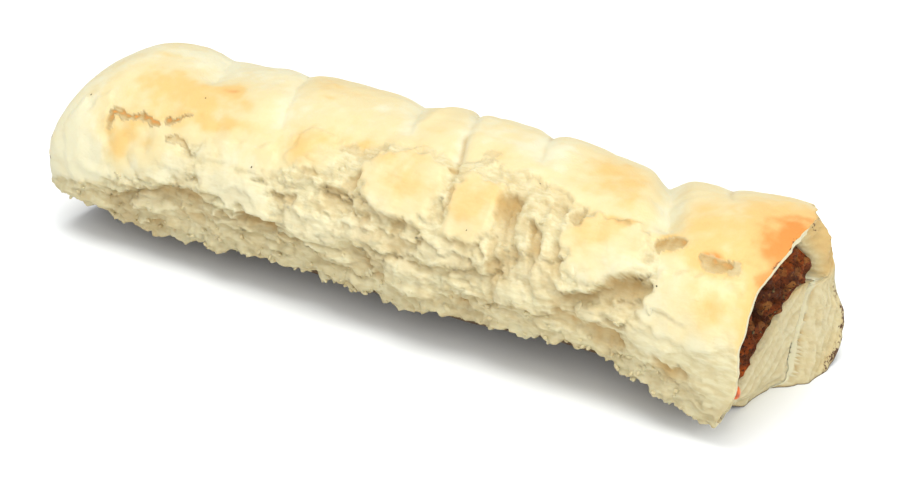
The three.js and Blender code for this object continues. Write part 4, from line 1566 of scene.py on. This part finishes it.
@dataclass
class Filling:
    """The sausage meat: one piece that runs through the roll, with a coarse broken face at each end."""

    form: SectionForm
    play: float = 0.45
    mouth_x: float = 73.0
    left_x: float = -76.0
    lead_most: float = 3.2
    lead_height: float = 7.0
    lump: float = 1.1
    # Holes between the crumbs at the mouth: y, z, reach and depth
    holes: tuple[tuple[float, float, float, float], ...] = (
        (-2.4, 19.0, 1.8, 2.4), (1.4, 14.9, 1.5, 1.8), (-7.5, 13.5, 1.3, 1.5), (3.5, 24.5, 1.3, 1.2),
    )
    sides: int = 150
    body_rings: int = 14
    face_rings: int = 44

    def lead(self, y: Array, z: Array) -> Array:
        """How far the meat on the bed stands out beyond the meat under the hood.

        Args:
            y: places across the face.
            z: heights on the face.

        Returns:
            The reach along X.
        """
        above = z - self.form.bed_level - self.form.bed_slope * y
        ragged = 0.84 + 0.26 * rough(y * 0.7, z * 0.7)
        return self.lead_most * ragged * smooth(self.lead_height, 0.0, above)

    def cap(self, ring: Array, outward: float) -> tuple[Array, Array]:
        """Coarse face of broken meat.

        Args:
            ring: the face's outline.
            outward: 1 at the mouth, -1 at the left end.

        Returns:
            Points by ring and column, and how deep each lies between crumbs, for the shade painted there.
        """
        middle = ring.mean(0)
        share = ((np.arange(1, self.face_rings) / self.face_rings) ** 0.85)[:, None, None]
        face = mix(ring[None], middle[None, None], share)
        y, z = face[..., 1], face[..., 2]
        wy = y + 0.5 * rough(y * 0.9, z * 0.9)
        wz = z + 0.5 * rough(y * 0.9 + 9, z * 0.9)
        big = shards(wy / 3.3, wz / 2.9, 2.0)
        broad = rough(y * 0.31, z * 0.37) + 0.6 * rough(y * 0.7, z * 0.8)
        inward = share[..., 0]
        height = self.lump * (smooth(0, 0.4, inward) + broad * smooth(0, 0.15, inward))
        crumbs = 0.9 * (big.number - 0.5) + 0.6 * smooth(0, 0.6, big.edge)
        crumbs = crumbs + 0.7 * rough(wy * 0.9, wz * 0.95 + 4)
        crumbs = crumbs + 0.45 * rough(wy * 1.9 + 3, wz * 2.0) + 0.2 * rough(wy * 4.1, wz * 4.3 + 8)
        gap = sum(bell(np.hypot(y - hy, z - hz), 0, reach) * depth for hy, hz, reach, depth in self.holes)
        if outward < 0:
            gap = 0 * y
        height = height + smooth(0, 0.08, inward) * (0.75 * crumbs - 0.5) - gap
        if outward > 0:
            face[..., 0] = self.mouth_x + self.lead(y, z)
        face[..., 0] += outward * height
        # Painted shade in the holes and low between the crumbs
        deep = np.clip(0.55 * gap + 0.55 * (0.25 - crumbs), 0, 1)
        return face, 0.9 * deep

    def build(self, material: Material) -> Piece:
        """Builds the filling.

        Args:
            material: the cooked meat.

        Returns:
            The filling, with the attribute hollow for the shade painted into its gaps.
        """
        rays = np.linspace(-math.pi, math.pi, self.sides, endpoint=False)
        rings = []
        for x in np.linspace(self.left_x, self.mouth_x, self.body_rings):
            y, z = self.form.hollow(float(x), self.play, rays)
            rings.append(np.stack([np.full(self.sides, x), y, z], -1))
        body = np.array(rings)
        body[-1, :, 0] += self.lead(body[-1, :, 1], body[-1, :, 2])
        mouth, mouth_shade = self.cap(body[-1], 1.0)
        left, left_shade = self.cap(body[0], -1.0)
        grid = np.concatenate([left[::-1], body, mouth])
        deep = np.concatenate([left_shade[::-1], np.zeros(body.shape[:2]), mouth_shade])
        hubs = [grid[0].mean(0), grid[-1].mean(0)]
        points = np.concatenate([grid.reshape(-1, 3), np.array(hubs)])
        faces = ring_faces(len(grid), self.sides, False)
        piece = mesh_object("meat_filling", points, faces, material)
        work = bmesh.new()
        work.from_mesh(piece.data)
        work.verts.ensure_lookup_table()
        last = (len(grid) - 1) * self.sides
        for j in range(self.sides):
            k = (j + 1) % self.sides
            work.faces.new([work.verts[i] for i in (len(points) - 2, k, j)]).smooth = True
            work.faces.new([work.verts[i] for i in (len(points) - 1, last + j, last + k)]).smooth = True
        work.to_mesh(piece.data)
        work.free()
        y, z = points[:, 1], points[:, 2]
        stained = 0.35 + 0.65 * smooth(-2.0, -7.0, y) + 0.4 * bell(z, 24, 3)
        face = (points[:, 0] > self.mouth_x - 0.1) | (points[:, 0] < self.left_x + 0.1)
        # hollow carries the shade painted between crumbs
        set_attribute(piece, "hollow", np.concatenate([deep.ravel(), [0.3, 0.3]]))
        set_attribute(piece, "stained", np.clip(stained, 0, 1))
        set_attribute(piece, Spread.HERBS.value, face)
        return piece


@dataclass
class Scatter:
    """Loose bits strewn over a piece by Geometry Nodes."""

    name: str
    spread: Spread
    per_square_metre: float
    size_mm: tuple[float, float, float]
    scale_least: float
    scale_most: float
    tilt: float
    curl_mm: float
    seed: int
    sunk_mm: float = 0.0
    round_bits: bool = False

    def tree(self, material: Material) -> Tree:
        """Builds the node tree.

        Args:
            material: finish of the bits.

        Returns:
            A tree with named inputs for the bits' density, size, tilt and curl.
        """
        tree = bpy.data.node_groups.new(f"strew_{self.spread.name.lower()}", "GeometryNodeTree")
        face = tree.interface
        face.new_socket("Geometry", in_out="INPUT", socket_type="NodeSocketGeometry")
        for name, kind in (("Density", "Float"), ("Size", "Vector"), ("Scale Least", "Float"),
                           ("Scale Most", "Float"), ("Tilt", "Float"), ("Curl", "Float"), ("Sunk", "Float")):
            face.new_socket(name, in_out="INPUT", socket_type=f"NodeSocket{kind}")
        face.new_socket("Geometry", in_out="OUTPUT", socket_type="NodeSocketGeometry")
        given = add_node(tree, "NodeGroupInput").outputs
        allowed = add_node(tree, "GeometryNodeInputNamedAttribute",
                           {"data_type": "FLOAT", "Name": self.spread.value})
        density = arith(tree, "MULTIPLY", given["Density"], allowed.outputs[0])
        strewn = add_node(tree, "GeometryNodeDistributePointsOnFaces", {"Seed": self.seed},
                          {"Mesh": given["Geometry"], "Density": density})
        if self.round_bits:
            unit = add_node(tree, "GeometryNodeMeshIcoSphere", {"Radius": 0.5, "Subdivisions": 2})
        else:
            unit = add_node(tree, "GeometryNodeMeshCylinder", {
                "fill_type": "TRIANGLE_FAN", "Vertices": 6, "Side Segments": 1, "Fill Segments": 2,
                "Radius": 0.5, "Depth": 1.0})
        sized = add_node(tree, "GeometryNodeTransform", {},
                         {"Geometry": unit.outputs["Mesh"], "Scale": given["Size"]})
        spin = add_node(tree, "FunctionNodeRandomValue", {"data_type": "FLOAT_VECTOR", "Seed": self.seed + 1})
        low = add_node(tree, "ShaderNodeCombineXYZ", {"Z": -math.pi})
        high = add_node(tree, "ShaderNodeCombineXYZ", {"Z": math.pi})
        negative = arith(tree, "MULTIPLY", given["Tilt"], -1.0)
        for socket in ("X", "Y"):
            tree.links.new(negative, low.inputs[socket])
            tree.links.new(given["Tilt"], high.inputs[socket])
        tree.links.new(low.outputs[0], spin.inputs[0])
        tree.links.new(high.outputs[0], spin.inputs[1])
        turned = add_node(tree, "FunctionNodeRotateEuler", {"rotation_type": "EULER", "space": "LOCAL"},
                          {"Rotation": strewn.outputs["Rotation"], "Rotate By": spin.outputs[0]})
        grow = add_node(tree, "FunctionNodeRandomValue", {"data_type": "FLOAT", "Seed": self.seed + 2},
                        {"2": given["Scale Least"], "3": given["Scale Most"]})
        placed = add_node(tree, "GeometryNodeInstanceOnPoints", {}, {
            "Points": strewn.outputs["Points"], "Instance": sized.outputs["Geometry"],
            "Rotation": turned.outputs[0], "Scale": grow.outputs[1]})
        sink = add_node(tree, "ShaderNodeCombineXYZ", {}, {"Z": given["Sunk"]})
        lowered = add_node(tree, "GeometryNodeTranslateInstances", {"Local Space": True},
                           {"Instances": placed.outputs["Instances"], "Translation": sink.outputs[0]})
        whole = add_node(tree, "GeometryNodeRealizeInstances", {}, {"Geometry": lowered.outputs["Instances"]})
        wrinkle = add_node(tree, "ShaderNodeTexNoise", {"Scale": per_metre(1.6), "Detail": 2.0})
        centred = add_node(tree, "ShaderNodeVectorMath", {"operation": "SUBTRACT", "1": (0.5, 0.5, 0.5)},
                           {"0": wrinkle.outputs["Color"]})
        offset = add_node(tree, "ShaderNodeVectorMath", {"operation": "SCALE"},
                          {"0": centred.outputs[0], "Scale": given["Curl"]})
        bent = add_node(tree, "GeometryNodeSetPosition", {},
                        {"Geometry": whole.outputs["Geometry"], "Offset": offset.outputs[0]})
        soft = add_node(tree, "GeometryNodeSetShadeSmooth", {"Shade Smooth": True},
                        {"Geometry": bent.outputs[0]})
        done = add_node(tree, "GeometryNodeSetMaterial", {"Material": material},
                        {"Geometry": soft.outputs[0]})
        add_node(tree, "NodeGroupOutput", {}, {"0": done.outputs[0]})
        return tree

    def strew(self, base: Piece, material: Material) -> Piece:
        """Strews the bits over a piece.

        Args:
            base: the piece that they lie on.
            material: their finish.

        Returns:
            The bits as one plain mesh.
        """
        piece = bpy.data.objects.new(self.name, base.data.copy())
        bpy.context.scene.collection.objects.link(piece)
        modifier = piece.modifiers.new("strew", "NODES")
        modifier.node_group = self.tree(material)
        values = {
            "Density": self.per_square_metre, "Size": [s * MM for s in self.size_mm],
            "Scale Least": self.scale_least, "Scale Most": self.scale_most, "Tilt": self.tilt,
            "Curl": self.curl_mm * MM, "Sunk": -self.sunk_mm * MM,
        }
        for item in modifier.node_group.interface.items_tree:
            if item.in_out == "INPUT" and item.name in values:
                modifier[item.identifier] = values[item.name]
        return settle(piece)


@dataclass
class JuiceBead:
    """A drop of juice where the near rim meets the layers under the filling."""

    middle: tuple[float, float, float] = (77.6, -15.4, 8.6)
    radius: float = 1.1

    def build(self, material: Material) -> Piece:
        """Builds the bead.

        Args:
            material: the juice.

        Returns:
            The bead.
        """
        work = bmesh.new()
        bmesh.ops.create_icosphere(work, subdivisions=4, radius=self.radius)
        points = np.array([vert.co[:] for vert in work.verts])
        faces = np.array([[vert.index for vert in item.verts] for item in work.faces])
        work.free()
        swell = 1 + 0.16 * rough(points[:, 0] * 1.1 + 3, points[:, 1] * 1.2 + points[:, 2])
        points = points * swell[:, None] * np.array([0.75, 0.95, 1.25]) + np.array(self.middle)
        return mesh_object("juice_bead", points, faces, material)


@dataclass
class Studio:
    """White sweep, soft light and the camera."""

    azimuth: float = 35.22
    elevation: float = 25.0
    distance_mm: float = 450.0
    focal_px: float = 2282.9
    image_width: float = 900.0
    image_height: float = 485.0
    target_px: tuple[float, float] = (425.5, 208.6)
    target_mm: tuple[float, float, float] = (0.0, 0.0, 18.0)
    # Soft lights: name, place and size in metres, and power in watts
    lights: tuple[tuple[str, tuple[float, float, float], float, float], ...] = (
        ("key", (0.02, -0.14, 0.78), 0.6, 5.2), ("side", (0.75, -0.12, 0.40), 0.6, 3.0),
        ("front", (0.28, -0.62, 0.40), 0.7, 2.6),
    )
    sky: str = "#fbfcff"
    fill_strength: float = 0.62
    floor_side: float = 8.0

    def camera(self) -> Piece:
        """Puts the camera where the photograph was taken from, turned so that it needs no shift.

        Returns:
            The camera, set as the scene's own.
        """
        a, e = math.radians(self.azimuth), math.radians(self.elevation)
        back = Vector((math.sin(a) * math.cos(e), -math.cos(a) * math.cos(e), math.sin(e)))
        right = Vector((math.cos(a), math.sin(a), 0.0))
        up = back.cross(right)
        target = Vector([(t + s) * MM for t, s in zip(self.target_mm, AXIS_SHIFT)])
        aside = (self.image_width / 2 - self.target_px[0]) / self.focal_px
        down = (self.image_height / 2 - self.target_px[1]) / self.focal_px
        look = right * aside - up * down - back
        data = bpy.data.cameras.new("camera")
        data.sensor_width = 36.0
        data.lens = self.focal_px / self.image_width * data.sensor_width
        data.clip_start, data.clip_end = 0.01, 10.0
        item = bpy.data.objects.new("camera", data)
        item.location = target + back * self.distance_mm * MM
        item.rotation_mode = "QUATERNION"
        item.rotation_quaternion = look.to_track_quat("-Z", "Y")
        bpy.context.scene.collection.objects.link(item)
        bpy.context.scene.camera = item
        return item

    def area_light(self, name: str, place: Sequence[float], size: float, energy: float) -> Piece:
        """Adds a soft light that faces the roll.

        Args:
            name: the light's name.
            place: where it stands, in metres.
            size: its side, in metres.
            energy: its power, in watts.

        Returns:
            The light.
        """
        data = bpy.data.lights.new(name, "AREA")
        data.shape = "DISK"
        data.size = size
        data.energy = energy
        item = bpy.data.objects.new(name, data)
        item.location = place
        item.rotation_mode = "QUATERNION"
        item.rotation_quaternion = (Vector((0, 0, 0.015)) - Vector(place)).to_track_quat("-Z", "Y")
        bpy.context.scene.collection.objects.link(item)
        return item

    def build(self, paper: Material) -> None:
        """Builds the sweep, lights, world and camera.

        Args:
            paper: finish of the floor.
        """
        mesh = bpy.data.meshes.new("floor")
        far = self.floor_side / 2
        corners = [(-far, -far, 0), (far, -far, 0), (far, far, 0), (-far, far, 0)]
        mesh.from_pydata(corners, [], [(0, 1, 2, 3)])
        mesh.materials.append(paper)
        floor = bpy.data.objects.new("floor", mesh)
        bpy.context.scene.collection.objects.link(floor)
        for name, place, size, energy in self.lights:
            self.area_light(name, place, size, energy)
        world = bpy.data.worlds.new("studio")
        world.use_nodes = True
        sky = world.node_tree.nodes["Background"]
        sky.inputs["Color"].default_value = srgb(self.sky)
        sky.inputs["Strength"].default_value = self.fill_strength
        bpy.context.scene.world = world
        bpy.context.scene.view_settings.view_transform = "Standard"
        bpy.context.scene.view_settings.look = "None"
        self.camera()


def report(piece: Piece) -> None:
    """Logs a piece's name and number of faces."""
    LOG.info("%s: %d faces", piece.name, len(piece.data.polygons))


def main() -> None:
    """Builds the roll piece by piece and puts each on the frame."""
    logging.basicConfig(level=logging.INFO, format="%(name)s %(message)s")
    form = SectionForm()
    relief = SkinRelief(form)
    pastry = BakedPastry().make()
    meat = CookedMeat().make()

    crust = Crust(form, relief).build(pastry)
    report(crust)
    filling = Filling(form).build(meat)
    report(filling)
    bead = JuiceBead().build(MeatJuice().make())
    report(bead)
    herb = DriedHerb().make()
    flakes = Scatter("loose_flakes", Spread.FLAKES, per_square_metre=24000, size_mm=(2.4, 1.5, 0.25),
                     scale_least=0.35, scale_most=1.1, tilt=0.16, curl_mm=0.8, seed=3,
                     sunk_mm=0.05).strew(crust, pastry)
    crumbs = Scatter("foot_crumbs", Spread.CRUMBS, per_square_metre=100000, size_mm=(1.5, 1.0, 0.7),
                     scale_least=0.4, scale_most=1.1, tilt=3.0, curl_mm=0.5, seed=11,
                     round_bits=True).strew(crust, pastry)
    skin_herbs = Scatter("skin_specks", Spread.HERBS, per_square_metre=900, size_mm=(0.45, 0.32, 0.12),
                         scale_least=0.5, scale_most=1.1, tilt=0.2, curl_mm=0.1, seed=21).strew(crust, herb)
    meat_herbs = Scatter("meat_herbs", Spread.HERBS, per_square_metre=60000, size_mm=(0.7, 0.5, 0.2),
                         scale_least=0.5, scale_most=1.3, tilt=0.6, curl_mm=0.15,
                         seed=31).strew(filling, herb)
    for piece in (flakes, crumbs, skin_herbs, meat_herbs):
        report(piece)

    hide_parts("pastry")
    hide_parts("filling")
    dressed = (
        (crust, "pastry"), (flakes, "pastry"), (crumbs, "pastry"), (skin_herbs, "pastry"),
        (filling, "filling"), (meat_herbs, "filling"), (bead, "filling"),
    )
    for piece, slot in dressed:
        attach(piece, "root")

    Studio().build(StudioPaper().make())


if __name__ == "__main__":
    main()
